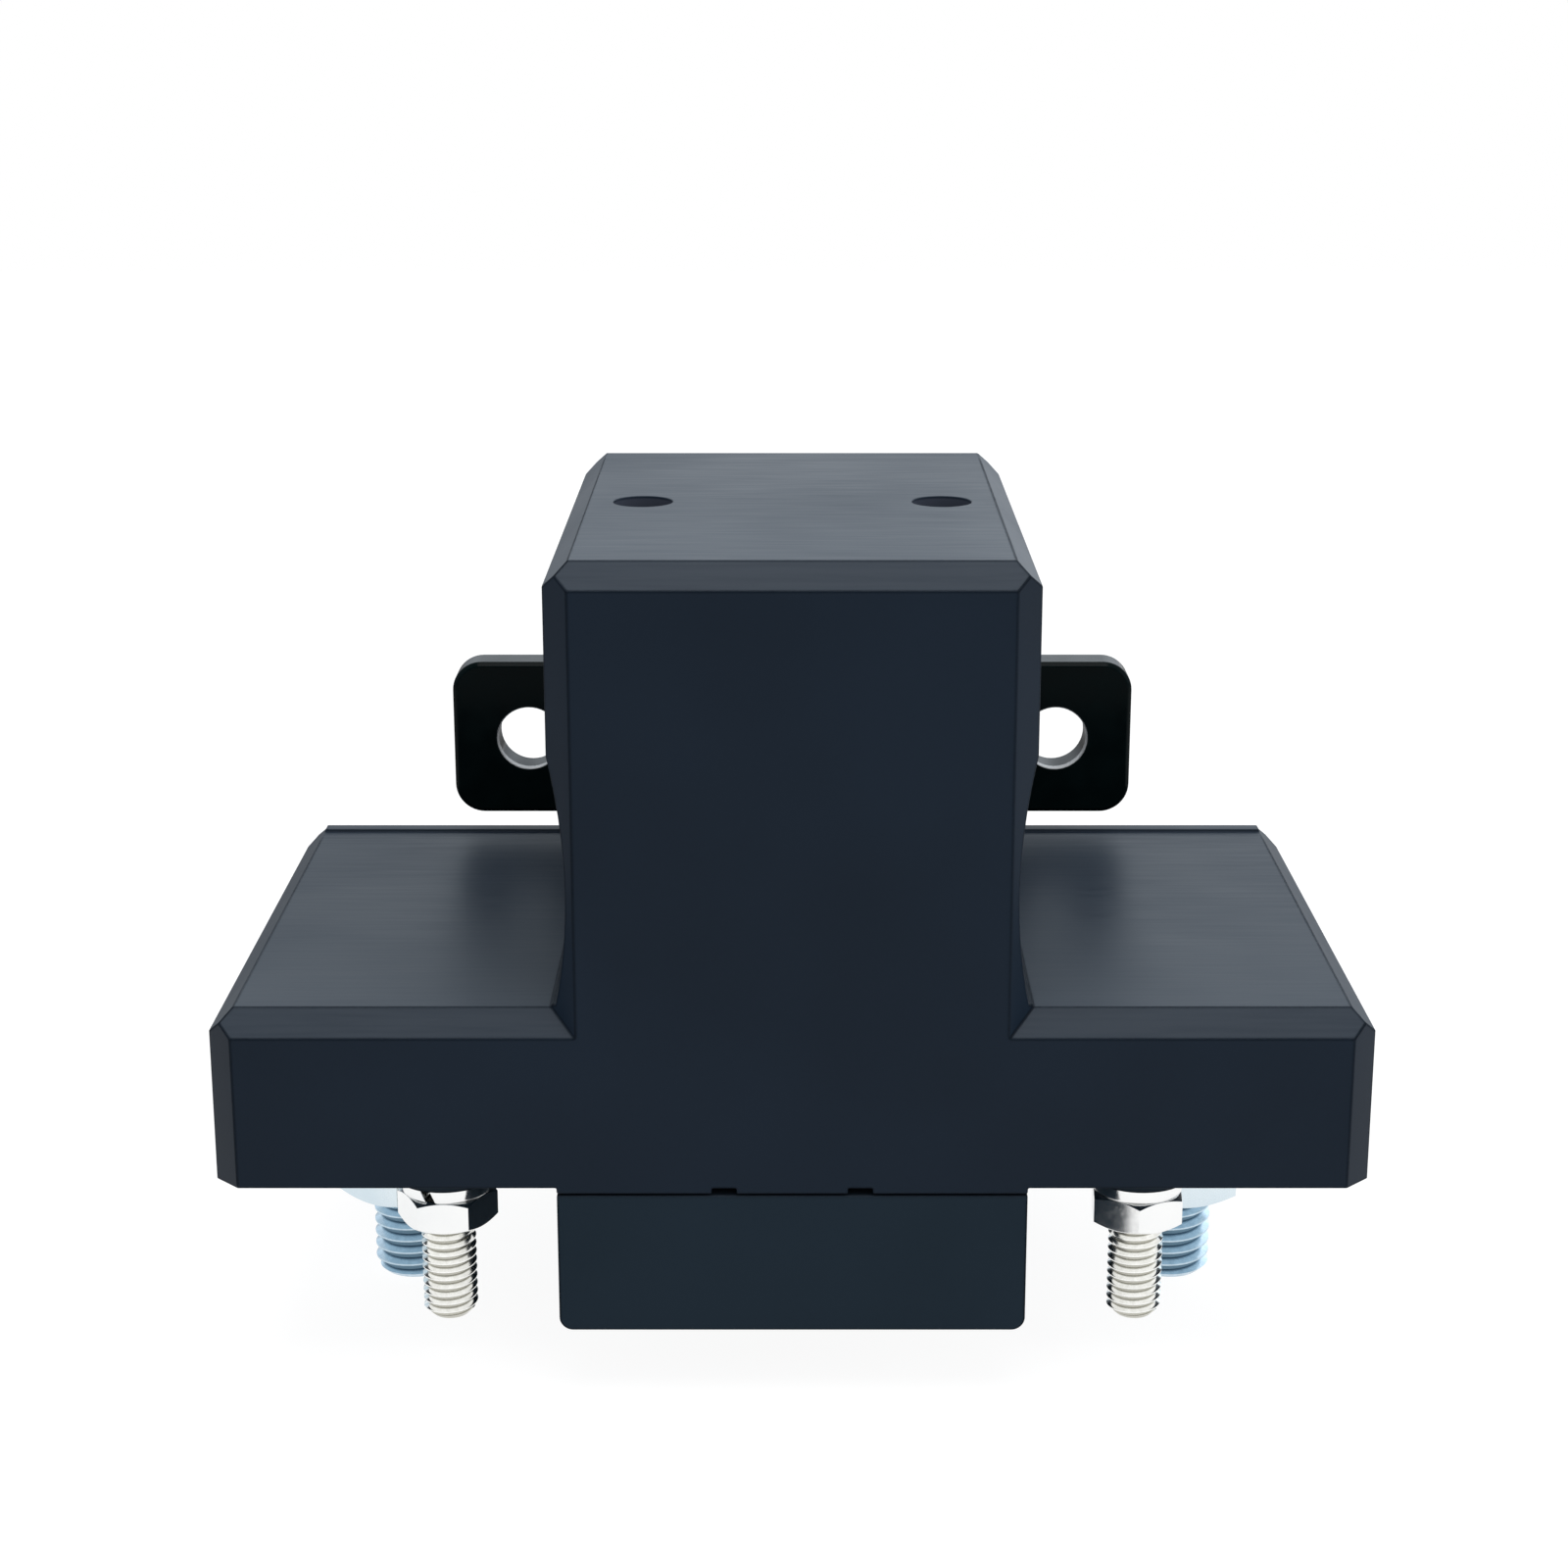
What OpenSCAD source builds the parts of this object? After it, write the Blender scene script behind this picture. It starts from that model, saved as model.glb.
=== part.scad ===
// Starter relay: a moulded housing with a coil tower and two wings, a terminal base with studs,
// and a plunger that lifts a contact bridge against two fixed contacts.
// X runs across the wings, Y from front to back, Z up. The origin lies between the two holes of
// the mounting plate, on its back face. Heights are measured from the underside of the wings.

/* [Housing] */
// Width over the two wings
wing_w = 102; // [98:1:116]
// Depth from the front face to the panel
body_d = 59; // [58:0.5:66]
// Height of the wings
wing_h = 16.2; // [16:0.2:19]
// Height of the tower's top above the underside of the wings
body_h = 55.8; // [54:0.2:62]
// Width of the tower
tower_w = 42; // [41:0.5:46]
// Size of the 45 degree chamfers on the outer edges
edge_chamfer = 2.2; // [0.8:0.1:2.6]
// Thickness of the side walls
wall = 3; // [2.6:0.1:3.2]
// Thickness of the roofs
roof_t = 2.6; // [2:0.1:2.8]
// Depth of the hollow in each side of the tower
scallop_depth = 1.5; // [0.5:0.1:1.8]
// Radius of the hollow in each side of the tower
scallop_r = 48.8; // [40:0.5:60]
// Height of the middle of the hollow
scallop_h = 26.8; // [25:0.2:29]
// Distance between the two blind holes in the tower's top
top_hole_spacing = 27.6; // [25:0.2:28]
// Radius of the blind holes
top_hole_r = 2.75; // [1.5:0.05:3]
// Depth of the blind holes
top_hole_depth = 6; // [4:0.2:7]
// Wall round and under a blind hole
hole_wall = 1.8; // [1.2:0.1:2]
// Depth of the low rib along the back of each wing
rib_d = 1.7; // [1:0.1:3]
// Height of the low rib
rib_h = 0.25; // [0.1:0.05:0.6]

/* [Mounting plate] */
// Height of the mounting holes above the underside of the wings
mount_h = 26.4; // [26:0.2:30]
// Width over the two ears
plate_w = 70; // [68:0.5:80]
// Height of the plate
plate_h = 16; // [14:0.2:17]
// Thickness of the plate
plate_t = 4.2; // [3:0.1:4.6]
// Radius of the plate's corners
plate_corner_r = 3; // [2:0.1:5]
// Bevel on the plate's edges
plate_bevel = 0.4; // [0.2:0.05:0.8]
// Distance between the two mounting holes
mount_spacing = 54.4; // [53:0.2:58]
// Radius of the mounting holes
mount_hole_r = 3.25; // [2.5:0.05:3.5]
// Distance between the two screws that hold the plate
plate_screw_spacing = 18; // [12:1:22]
// Radius of the shank of these screws
plate_screw_r = 1.5; // [1:0.1:1.8]
// Length of these screws
plate_screw_l = 9; // [7:0.2:9.4]

/* [Terminal base] */
// Width of the block under the tower
block_w = 41.5; // [41:0.5:44]
// Depth of the block below the wings
block_drop = 13.7; // [13.4:0.1:18]
// Wall of the block
block_wall = 2.2; // [1.8:0.1:2.4]
// Radius of the block's lower corners
block_corner_r = 1.2; // [0.3:0.1:1.5]
// Thickness of the base plate
base_t = 4; // [3.8:0.1:5]
// Gap round the base plate
base_clear = 0.3; // [0.2:0.05:0.5]
// Depth that the housing's skirt reaches below the wings over the block
skirt_h = 0.5; // [0.3:0.1:1]
// Seam between the skirt and the block
seam_gap = 0.25; // [0.1:0.05:0.4]
// Distance between the two release notches in the skirt
notch_spacing = 12; // [8:0.5:20]
// Width of a release notch
notch_w = 2.2; // [1:0.1:4]
// Radius of the posts that carry the barrier
post_r = 3; // [2:0.1:3.2]
// Height of the seal's section
seal_h = 1.4; // [1:0.1:1.6]
// Depth of the seal's groove
seal_groove = 1; // [0.6:0.1:1.4]

/* [Main studs] */
// Distance between the two main studs
main_spacing = 74; // [72:0.5:78]
// Radius of the main studs
main_r = 4; // [3:0.5:4]
// Pitch of the main studs' thread
main_pitch = 1.25; // [0.8:0.05:1.25]
// Reach of the main studs below the wings
main_reach = 20; // [16:0.5:26]
// Height of the moulded seat under each main stud
main_seat_h = 1.4; // [0.4:0.1:2]
// Width across flats of the main nuts
main_nut_af = 13; // [12:0.5:13]
// Height of the main nuts
main_nut_h = 6.5; // [5:0.1:7]
// Thickness of the main flat washers
main_washer_t = 1.6; // [1:0.1:2]
// Thickness of the main spring washers
main_spring_t = 2; // [1.6:0.1:2.2]

/* [Coil studs] */
// Distance between the two coil studs
coil_stud_spacing = 63.2; // [60:0.2:66]
// Distance of the coil studs behind the front face
coil_stud_inset = 10; // [9.5:0.1:11]
// Radius of the coil studs
coil_stud_r = 2.5; // [2:0.25:2.5]
// Pitch of the coil studs' thread
coil_pitch = 0.8; // [0.5:0.05:0.8]
// Reach of the coil studs below the wings
coil_stud_reach = 16.6; // [14:0.2:20]
// Height of the round moulded boss at each coil stud
coil_boss_h = 2.8; // [1:0.1:4]
// Radius of this boss
coil_boss_r = 4.7; // [4:0.1:5]
// Width across flats of the coil nuts
coil_nut_af = 8; // [7:0.5:8.5]
// Height of the coil nuts
coil_nut_h = 3.1; // [2.4:0.1:4]
// Thickness of the coil spring washers
coil_spring_t = 1.3; // [1:0.1:1.6]

/* [Contacts] */
// Width of the fixed contact bars
bar_w = 14; // [12.5:0.5:16]
// Thickness of the fixed contact bars
bar_t = 3; // [2:0.1:3.2]
// Half the distance between the inner ends of the bars
bar_inner_x = 8.5; // [8:0.1:10]
// Distance between the two contact tips
tip_spacing = 26; // [25:0.2:27]
// Radius of a contact tip
tip_r = 4; // [3:0.1:4.2]
// Thickness of a contact tip
tip_t = 1.4; // [1:0.1:1.8]
// Open gap between the tips
contact_gap = 2.25; // [2.25:0.05:2.6]
// Thickness of the contact bridge
bridge_t = 2.5; // [1.8:0.1:2.6]
// Width of the contact bridge
bridge_w = 13; // [11:0.5:14]
// Length of the contact bridge
bridge_l = 35; // [34.5:0.1:35.4]
// Length of the contact spring at rest
contact_spring_l = 4.7; // [4.6:0.1:5]

/* [Magnet] */
// Thickness of the yoke and the pole plate
steel_t = 3; // [2:0.1:3.4]
// Width of the yoke and the pole plate
yoke_w = 30; // [24:0.5:32]
// Length of the coil's spool
coil_l = 24; // [22:0.2:25]
// Radius of the plunger
plunger_r = 7.95; // [7:0.05:8]
// Length of the plunger
plunger_l = 15; // [12:0.2:16]
// Travel of the plunger
stroke = 2.8; // [2.2:0.1:2.8]
// Wall of the guide tube
tube_t = 0.6; // [0.4:0.05:0.8]
// Radius of the plunger's shaft
shaft_r = 2; // [1.6:0.1:2.2]
// Turns of wire that show in one layer of the winding
winding_turns = 20; // [12:1:26]
// Thickness of the barrier between the coil and the contacts
barrier_t = 3; // [2:0.1:3.2]

/* [Hidden] */
$fn = 48;

// Overlap that lets a cut run clear through a face
cut = 1;
// Gap of a fixed fit between two pieces of one body
fit = 0.05;
// Gap of a running fit
running = 0.05;

// Height above the underside of the wings, as Z
function up(h) = h - mount_h;

front_y = -body_d;
wing_in_x = wing_w / 2 - wall;
tower_in_x = tower_w / 2 - wall;
cavity_front = front_y + wall;
cavity_back = -wall;
// The tower's back wall stands in front of the mounting plate
back_wall = 2.4;
tower_back = -plate_t - back_wall;
coil_y = (cavity_front + tower_back) / 2;

// Heights of the stack: the magnet hangs from the bosses under the tower's roof
bar_top = base_t + bar_t;
wing_roof = wing_h - roof_t;
tower_roof = body_h - roof_t;
yoke_top = body_h - top_hole_depth - hole_wall;
web_h = yoke_top - steel_t;
pole_top = web_h - coil_l;
pole_h = pole_top - steel_t;
barrier_h = pole_h - barrier_t;
plunger_top = pole_h + plunger_l;
// Gap that is left between the plunger and the core when the coil holds it
residual_gap = 0.2;
core_h = plunger_top + stroke + residual_gap;

// Coil
coil_side_gap = 0.5;
flange_r = tower_in_x - coil_side_gap;
flange_t = 1.5;
winding_r = flange_r - 0.8;
tube_in_r = plunger_r + running;
tube_out_r = tube_in_r + tube_t;
spool_in_r = tube_out_r + fit;
spool_wall = 1.2;
spool_out_r = spool_in_r + spool_wall;
yoke_in_y = flange_r + 0.3;

// Return spring, in pockets of the core and the plunger
pocket_r = 3.6;
plunger_pocket = 8;
core_pocket = 5;
return_wire_r = 0.35;
return_r = 2.9;
return_turns = 8;
core_tenon_r = 5;
core_head_r = 5.8;
core_head_h = 0.6;

// Contact stack below the bars
fixed_tip_h = base_t - tip_t;
bridge_tip_top = fixed_tip_h - contact_gap;
bridge_top = bridge_tip_top - tip_t;
bridge_bottom = bridge_top - bridge_t;
seat_top = bridge_bottom - contact_spring_l;
seat_t = 0.8;
clip_t = 0.5;
clip_r = 3.6;
clip_top = seat_top - seat_t;
shaft_tail = 1.2;
shaft_bottom = clip_top - shaft_tail;
shaft_hold = 5;
groove_r = shaft_r - 0.4;
bush_r = 3.2;
bush_flange_r = 5.5;
bush_flange_t = 1.8;
bush_below = 0.8;
contact_wire_r = 0.45;
contact_spring_r = 4.3;
contact_spring_turns = 3;
spring_seat_r = 5.6;

// Base
block_in_x = block_w / 2 - block_wall;
block_top = -skirt_h - seam_gap;
block_set = 0.1;
base_x = wing_in_x - base_clear;
base_front = cavity_front + base_clear;
base_back = cavity_back - base_clear;
window_y = 12;
cavity_lid = 1.3;
post_x = 12;
post_y = yoke_in_y;
seal_from = 0.9;
lug_w = 6;
lug_x = 22;
lug_from = seal_from + seal_h + 0.5;
lug_h = 0.9;
lug_d = 0.8;

// Studs
main_x = main_spacing / 2;
coil_stud_x = coil_stud_spacing / 2;
coil_stud_y = front_y + coil_stud_inset;
main_head_af = 12.5;
main_head_h = 4.6;
main_seat_r = 8.4;
main_washer_r = 8;
main_spring_r = 7.2;
coil_head_r = 4.1;
coil_head_h = 3;
coil_spring_r = 4.1;
stud_chamfer = 0.7;
// Height of the lower face of each nut
main_nut_end = -main_seat_h - main_washer_t - main_spring_t - main_nut_h;
coil_nut_end = -coil_boss_h - coil_spring_t - coil_nut_h;
// Room in the wing walls beyond the bars and stud heads
head_room = 0.5;
// How far the nuts and the slits of the spring washers are turned
nut_turns_main = [24, 20];
nut_turns_coil = [0, 27];
slit_turn_main = 70;
slit_turn_coil = 110;

// Bosses for the screws of the mounting plate, from the tower's back wall
plate_boss_r = plate_screw_r + 1.8;
plate_boss_end = -plate_screw_l - 1;

// Coil leads
lead_r = 0.7;
lug_plate_t = 0.8;
lug_plate_r = 4.2;
barrel_r = 1.1;
barrel_from = 9;
barrel_to = 6;
lead_x = (yoke_w / 2 + tower_in_x) / 2;
lead_y = coil_y - yoke_in_y + lead_r + 0.1;
lead_sides = 10;

// Share of a thread's pitch by which its pitch radius is less than its outer radius
pitch_share = 0.325;
// Nut and stud mesh at the pitch radius, and the stud's rolled shank has it too
function pitch_r(r, pitch) = r - pitch_share * pitch;

// Box with 45 degree chamfers on its upright and top edges, its front at front_y
module chamfered_body(w, h) {
    c = edge_chamfer;
    intersection() {
        translate([0, 0, up(0)])
            linear_extrude(h)
                translate([0, front_y / 2])
                    chamfered_outline(w, body_d, c, c);
        translate([0, 0, up(0)])
            rotate([90, 0, 0])
                linear_extrude(body_d)
                    translate([0, h / 2])
                        chamfered_outline(w, h, c, 0);
        translate([-w / 2, front_y / 2, up(0)])
            rotate([90, 0, 90])
                linear_extrude(w)
                    translate([0, h / 2])
                        chamfered_outline(body_d, h, c, 0);
    }
}

// Rectangle with its upper and lower corners cut off
module chamfered_outline(w, h, top, bottom) {
    polygon([
        [-w / 2 + bottom, -h / 2], [w / 2 - bottom, -h / 2],
        [w / 2, -h / 2 + bottom], [w / 2, h / 2 - top],
        [w / 2 - top, h / 2], [-w / 2 + top, h / 2],
        [-w / 2, h / 2 - top], [-w / 2, -h / 2 + bottom]
    ]);
}

// Box between two corners, with heights above the underside of the wings
module block(x0, x1, y0, y1, h0, h1) {
    translate([x0, y0, up(h0)])
        cube([x1 - x0, y1 - y0, h1 - h0]);
}

// Round bar that stands at x, y from one height to another
module pillar(x, y, r, h0, h1) {
    translate([x, y, up(h0)])
        cylinder(r = r, h = h1 - h0);
}

// Round bar that lies front to back
module rod_y(x, h, r, y0, y1) {
    translate([x, y1, up(h)])
        rotate([90, 0, 0])
            cylinder(r = r, h = y1 - y0);
}

// Tube of a wire swept along points, with rings set by a fixed reference direction
function unit(v) = v / norm(v);
function heading(p, i) =
    unit(p[min(i + 1, len(p) - 1)] - p[max(i - 1, 0)]);
module wire(p, r, sides, reference) {
    rings = [
        for (i = [0 : len(p) - 1])
            let (t = heading(p, i), n = unit(cross(t, reference)), b = cross(t, n))
                for (k = [0 : sides - 1])
                    let (a = 360 * k / sides)
                        p[i] + r * (cos(a) * n + sin(a) * b)
    ];
    last = (len(p) - 1) * sides;
    skin = [
        for (i = [0 : len(p) - 2])
            for (k = [0 : sides - 1])
                let (a = i * sides + k, b = i * sides + (k + 1) % sides)
                    for (face = [[a, a + sides, b + sides], [a, b + sides, b]])
                        face
    ];
    ends = [
        [for (k = [0 : sides - 1]) k],
        [for (k = [sides - 1 : -1 : 0]) last + k]
    ];
    polyhedron(points = rings, faces = concat(skin, ends));
}

// Compression spring between two heights, its ends one wire radius inside them
module coil_spring(y, radius, wire_r, turns, h0, h1, sides) {
    steps = 12;
    rise = h1 - h0 - 2 * wire_r;
    path = [
        for (i = [0 : turns * steps])
            let (a = 360 * i / steps, s = i / (turns * steps))
                [radius * cos(a), y + radius * sin(a), up(h0 + wire_r + rise * s)]
    ];
    wire(path, wire_r, sides, [0, 0, 1]);
}

// Hexagon nut with turned edges, its top face at height h
module hex_nut(x, y, h, af, height, bore_r, turn) {
    corner_r = af / 2 / cos(30);
    face_r = af / 2 * 0.96;
    edge = (corner_r - face_r) * tan(30);
    translate([x, y, up(h - height)])
        rotate([0, 0, turn])
            difference() {
                intersection() {
                    cylinder(r = corner_r, h = height, $fn = 6);
                    rotate_extrude()
                        polygon([
                            [0, 0], [face_r, 0], [corner_r, edge],
                            [corner_r, height - edge], [face_r, height], [0, height]
                        ]);
                }
                translate([0, 0, -cut])
                    cylinder(r = bore_r, h = height + 2 * cut);
            }
}

// Plain washer, its top face at height h
module flat_washer(x, y, h, outer_r, inner_r, t) {
    difference() {
        pillar(x, y, outer_r, h - t, h);
        pillar(x, y, inner_r, h - t - cut, h + cut);
    }
}

// Split spring washer, its top face at height h, with a slanted cut on the side at angle turn
module spring_washer(x, y, h, outer_r, inner_r, t, turn) {
    slit = 0.8;
    slant = 25;
    difference() {
        flat_washer(x, y, h, outer_r, inner_r, t);
        translate([x, y, up(h - t / 2)])
            rotate([0, 0, turn])
                translate([(inner_r + outer_r) / 2, 0, 0])
                    rotate([slant, 0, 0])
                        cube([2 * outer_r - 2 * inner_r, slit, 3 * t], center = true);
    }
}

// Stud with a turned end, thin from its head down to its nut's lower face and full below
module stud_shank(x, y, r, pitch, top, nut_end, reach) {
    translate([x, y, up(0)])
        rotate_extrude()
            polygon([
                [0, top], [0, -reach], [r - stud_chamfer, -reach],
                [r, -reach + stud_chamfer], [r, nut_end - fit],
                [pitch_r(r, pitch), nut_end - fit], [pitch_r(r, pitch), top]
            ]);
}

module housing() {
    color("#1f2830")
        difference() {
            union() {
                chamfered_body(tower_w, body_h);
                chamfered_body(wing_w, wing_h);
                housing_skirt();
                housing_back_ribs();
            }
            tower_scallops();
            housing_hollow();
            stud_head_rooms();
            plate_pocket();
            top_holes();
            snap_recesses();
        }
}

// Low lip of the front and back walls over the block, with two release notches at the front
module housing_skirt() {
    difference() {
        union() {
            block(-block_w / 2, block_w / 2, front_y, cavity_front, -skirt_h, edge_chamfer);
            block(-block_w / 2, block_w / 2, cavity_back, 0, -skirt_h, edge_chamfer);
        }
        for (side = [-1, 1]) {
            x = side * notch_spacing / 2;
            block(x - notch_w / 2, x + notch_w / 2, front_y - cut, cavity_front + cut, -skirt_h - cut, 0);
        }
    }
}

module housing_back_ribs() {
    rib_x = wing_w / 2 - edge_chamfer;
    back = -edge_chamfer;
    block(-rib_x, rib_x, back - rib_d, back, wing_h - cut, wing_h + rib_h);
}

// Shallow hollows along both sides of the tower, above the wings
module tower_scallops() {
    for (side = [-1, 1])
        intersection() {
            rod_y(side * (tower_w / 2 - scallop_depth + scallop_r), scallop_h, scallop_r,
                  front_y - cut, cut);
            block(side > 0 ? 0 : -tower_w, side > 0 ? tower_w : 0, front_y - cut, cut,
                  wing_h + rib_h, body_h);
        }
}

module housing_hollow() {
    difference() {
        union() {
            block(-wing_in_x, wing_in_x, cavity_front, cavity_back, -cut, wing_roof);
            block(-tower_in_x, tower_in_x, cavity_front, tower_back, 0, tower_roof);
        }
        top_hole_bosses();
        plate_screw_bosses();
        stop_ribs();
    }
}

// Room round the bars and the heads of the main studs, also where a wing is short
module stud_head_rooms() {
    reach = max(bar_w, main_head_af) / 2 + head_room;
    for (side = [-1, 1])
        block(side * main_x - reach, side * main_x + reach, coil_y - reach, coil_y + reach,
              base_t, bar_top + main_head_h + head_room);
}

// Bosses round the blind holes, which also seat the yoke
module top_hole_bosses() {
    for (side = [-1, 1])
        pillar(side * top_hole_spacing / 2, front_y / 2, top_hole_r + hole_wall, yoke_top, body_h);
}

module top_holes() {
    for (side = [-1, 1])
        pillar(side * top_hole_spacing / 2, front_y / 2, top_hole_r, body_h - top_hole_depth, body_h + cut);
}

// Ribs on the end walls of the wings, which stop the base
module stop_ribs() {
    rib_t = 1.2;
    rib_w = 8;
    for (side = [-1, 1])
        translate([side * (wing_in_x - rib_t / 2), front_y / 2, up((base_t + wing_roof) / 2)])
            cube([rib_t, rib_w, wing_roof - base_t], center = true);
}

// Slot across the back of the tower that takes the mounting plate, with the screws' pilot holes
module plate_pocket() {
    block(-tower_w, tower_w, -plate_t, cut, mount_h - plate_h / 2, mount_h + plate_h / 2);
    for (side = [-1, 1])
        rod_y(side * plate_screw_spacing / 2, mount_h, plate_screw_r + fit,
              -plate_screw_l - 0.3, 0);
}

module plate_screw_bosses(clear = 0) {
    for (side = [-1, 1])
        rod_y(side * plate_screw_spacing / 2, mount_h, plate_boss_r + clear,
              plate_boss_end - clear, tower_back + cut);
}

// Blind recesses in the front and back walls, which the base's lugs snap into
module snap_recesses() {
    for (side = [-1, 1]) {
        x = side * lug_x;
        w = lug_w / 2 + 0.2;
        block(x - w, x + w, cavity_front - lug_d, cavity_front + cut, lug_from - 0.1, lug_from + lug_h + 0.1);
        block(x - w, x + w, cavity_back - cut, cavity_back + lug_d, lug_from - 0.1, lug_from + lug_h + 0.1);
    }
}

module mounting_plate() {
    color("#0b1014")
        difference() {
            bevelled_plate();
            for (side = [-1, 1]) {
                rod_y(side * mount_spacing / 2, mount_h, mount_hole_r, -plate_t - cut, cut);
                plate_countersink(side * plate_screw_spacing / 2);
            }
        }
}

// Rounded plate with bevelled edges: two crossed bars and a bevelled disc at each corner
module bevelled_plate() {
    x = plate_w / 2 - plate_corner_r;
    z = plate_h / 2 - plate_corner_r;
    translate([-x, -plate_t / 2, 0])
        rotate([90, 0, 90])
            linear_extrude(2 * x)
                chamfered_outline(plate_t, plate_h, plate_bevel, plate_bevel);
    translate([0, -plate_t / 2, -z])
        linear_extrude(2 * z)
            chamfered_outline(plate_w, plate_t, plate_bevel, plate_bevel);
    for (sx = [-1, 1], sz = [-1, 1])
        translate([sx * x, 0, sz * z])
            rotate([90, 0, 0])
                rotate_extrude()
                    polygon([
                        [0, 0], [plate_corner_r - plate_bevel, 0], [plate_corner_r, plate_bevel],
                        [plate_corner_r, plate_t - plate_bevel],
                        [plate_corner_r - plate_bevel, plate_t], [0, plate_t]
                    ]);
}

module plate_countersink(x) {
    rod_y(x, mount_h, plate_screw_r + 0.3, -plate_t - cut, cut);
    translate([x, 0, 0])
        rotate([90, 0, 0])
            cylinder(r1 = 2 * plate_screw_r + fit, r2 = plate_screw_r + fit, h = plate_screw_r);
}

// Countersunk screws, flush with the plate's back face, with a cross recess
module plate_screws() {
    recess_w = 0.7;
    recess_l = 3.4;
    recess_d = 1.2;
    color("#5a5e62")
        for (side = [-1, 1])
            translate([side * plate_screw_spacing / 2, 0, 0])
                rotate([90, 0, 0])
                    difference() {
                        union() {
                            cylinder(r1 = 2 * plate_screw_r, r2 = plate_screw_r, h = plate_screw_r);
                            cylinder(r = plate_screw_r, h = plate_screw_l);
                        }
                        for (turn = [0, 90])
                            rotate([0, 0, turn])
                                cube([recess_l, recess_w, 2 * recess_d], center = true);
                    }
}

module terminal_base() {
    color("#222c35")
        difference() {
            union() {
                block(-base_x, base_x, base_front, base_back, 0, base_t);
                base_block_body();
                base_stud_seats();
                base_posts();
                snap_lugs();
            }
            base_hollow();
            seal_groove_ring(base_front - cut, base_back + cut, base_x + cut);
            for (side = [-1, 1]) {
                pillar(side * main_x, coil_y, main_r + fit, -2 * main_seat_h - cut, base_t + cut);
                pillar(side * coil_stud_x, coil_stud_y, coil_stud_r + fit, -coil_boss_h - cut, base_t + cut);
            }
        }
}

// Block under the tower: flush with the housing in front, with round lower edges
module base_block_body() {
    x = block_w / 2;
    r = block_corner_r;
    front = front_y + block_set;
    block(-x, x, front, -block_set, -block_drop + r, block_top);
    block(-x + r, x - r, front, -block_set, -block_drop, block_top);
    for (side = [-1, 1])
        rod_y(side * (x - r), -block_drop + r, r, front, -block_set);
    block(-x, x, base_front, base_back, block_top - cut, base_t);
}

module base_hollow() {
    floor_h = -block_drop + block_wall;
    block(-block_in_x, block_in_x, front_y + block_wall, -block_wall, floor_h, block_top - cavity_lid);
    block(-block_in_x, block_in_x, coil_y - window_y, coil_y + window_y, floor_h, base_t + cut);
}

module base_stud_seats() {
    for (side = [-1, 1]) {
        pillar(side * main_x, coil_y, main_seat_r, -main_seat_h, cut);
        pillar(side * coil_stud_x, coil_stud_y, coil_boss_r, -coil_boss_h, cut);
    }
}

// Posts that carry the barrier plate
module base_posts() {
    for (sx = [-1, 1], sy = [-1, 1])
        pillar(sx * post_x, coil_y + sy * post_y, post_r, base_t - cut, barrier_h);
}

module snap_lugs() {
    for (side = [-1, 1]) {
        x = side * lug_x;
        w = lug_w / 2;
        block(x - w, x + w, base_front - base_clear - lug_d + 0.2, base_front + cut, lug_from, lug_from + lug_h);
        block(x - w, x + w, base_back - cut, base_back + base_clear + lug_d - 0.2, lug_from, lug_from + lug_h);
    }
}

// Ring round the base plate, from its groove's floor out to the given edges
module seal_groove_ring(front, back, x) {
    g = seal_groove;
    difference() {
        block(-x, x, front, back, seal_from, seal_from + seal_h);
        block(-base_x + g, base_x - g, base_front + g, base_back - g, seal_from - cut, seal_from + seal_h + cut);
    }
}

module housing_seal() {
    color("#8a3b1d")
        seal_groove_ring(cavity_front, cavity_back, wing_in_x);
}

// Main stud with a square head that clamps the contact bar
module main_stud(side) {
    color("#c9ced2") {
        stud_shank(side * main_x, coil_y, main_r, main_pitch, bar_top + cut, main_nut_end, main_reach);
        translate([side * main_x, coil_y, up(bar_top + main_head_h / 2)])
            cube([main_head_af, main_head_af, main_head_h], center = true);
    }
}

module main_flat_washers() {
    color("#c9ced2")
        for (side = [-1, 1])
            flat_washer(side * main_x, coil_y, -main_seat_h, main_washer_r, main_r + 0.2, main_washer_t);
}

module main_spring_washers() {
    color("#c9ced2")
        for (side = [-1, 1])
            spring_washer(side * main_x, coil_y, -main_seat_h - main_washer_t,
                          main_spring_r, main_r + 0.1, main_spring_t, side * slit_turn_main);
}

module main_nuts() {
    bore_r = pitch_r(main_r, main_pitch) + fit;
    color("#c9ced2")
        for (i = [0, 1])
            hex_nut((2 * i - 1) * main_x, coil_y, main_nut_end + main_nut_h,
                    main_nut_af, main_nut_h, bore_r, nut_turns_main[i]);
}

// Coil stud with a round head that clamps the lead's ring
module coil_stud(side) {
    head_h = base_t + lug_plate_t;
    color("#dfe2e4") {
        stud_shank(side * coil_stud_x, coil_stud_y, coil_stud_r, coil_pitch, head_h + cut,
                   coil_nut_end, coil_stud_reach);
        pillar(side * coil_stud_x, coil_stud_y, coil_head_r, head_h, head_h + coil_head_h);
    }
}

module coil_spring_washers() {
    color("#dfe2e4")
        for (side = [-1, 1])
            spring_washer(side * coil_stud_x, coil_stud_y, -coil_boss_h,
                          coil_spring_r, coil_stud_r + 0.1, coil_spring_t, side * slit_turn_coil);
}

module coil_nuts() {
    bore_r = pitch_r(coil_stud_r, coil_pitch) + fit;
    color("#dfe2e4")
        for (i = [0, 1])
            hex_nut((2 * i - 1) * coil_stud_x, coil_stud_y, coil_nut_end + coil_nut_h,
                    coil_nut_af, coil_nut_h, bore_r, nut_turns_coil[i]);
}

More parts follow.
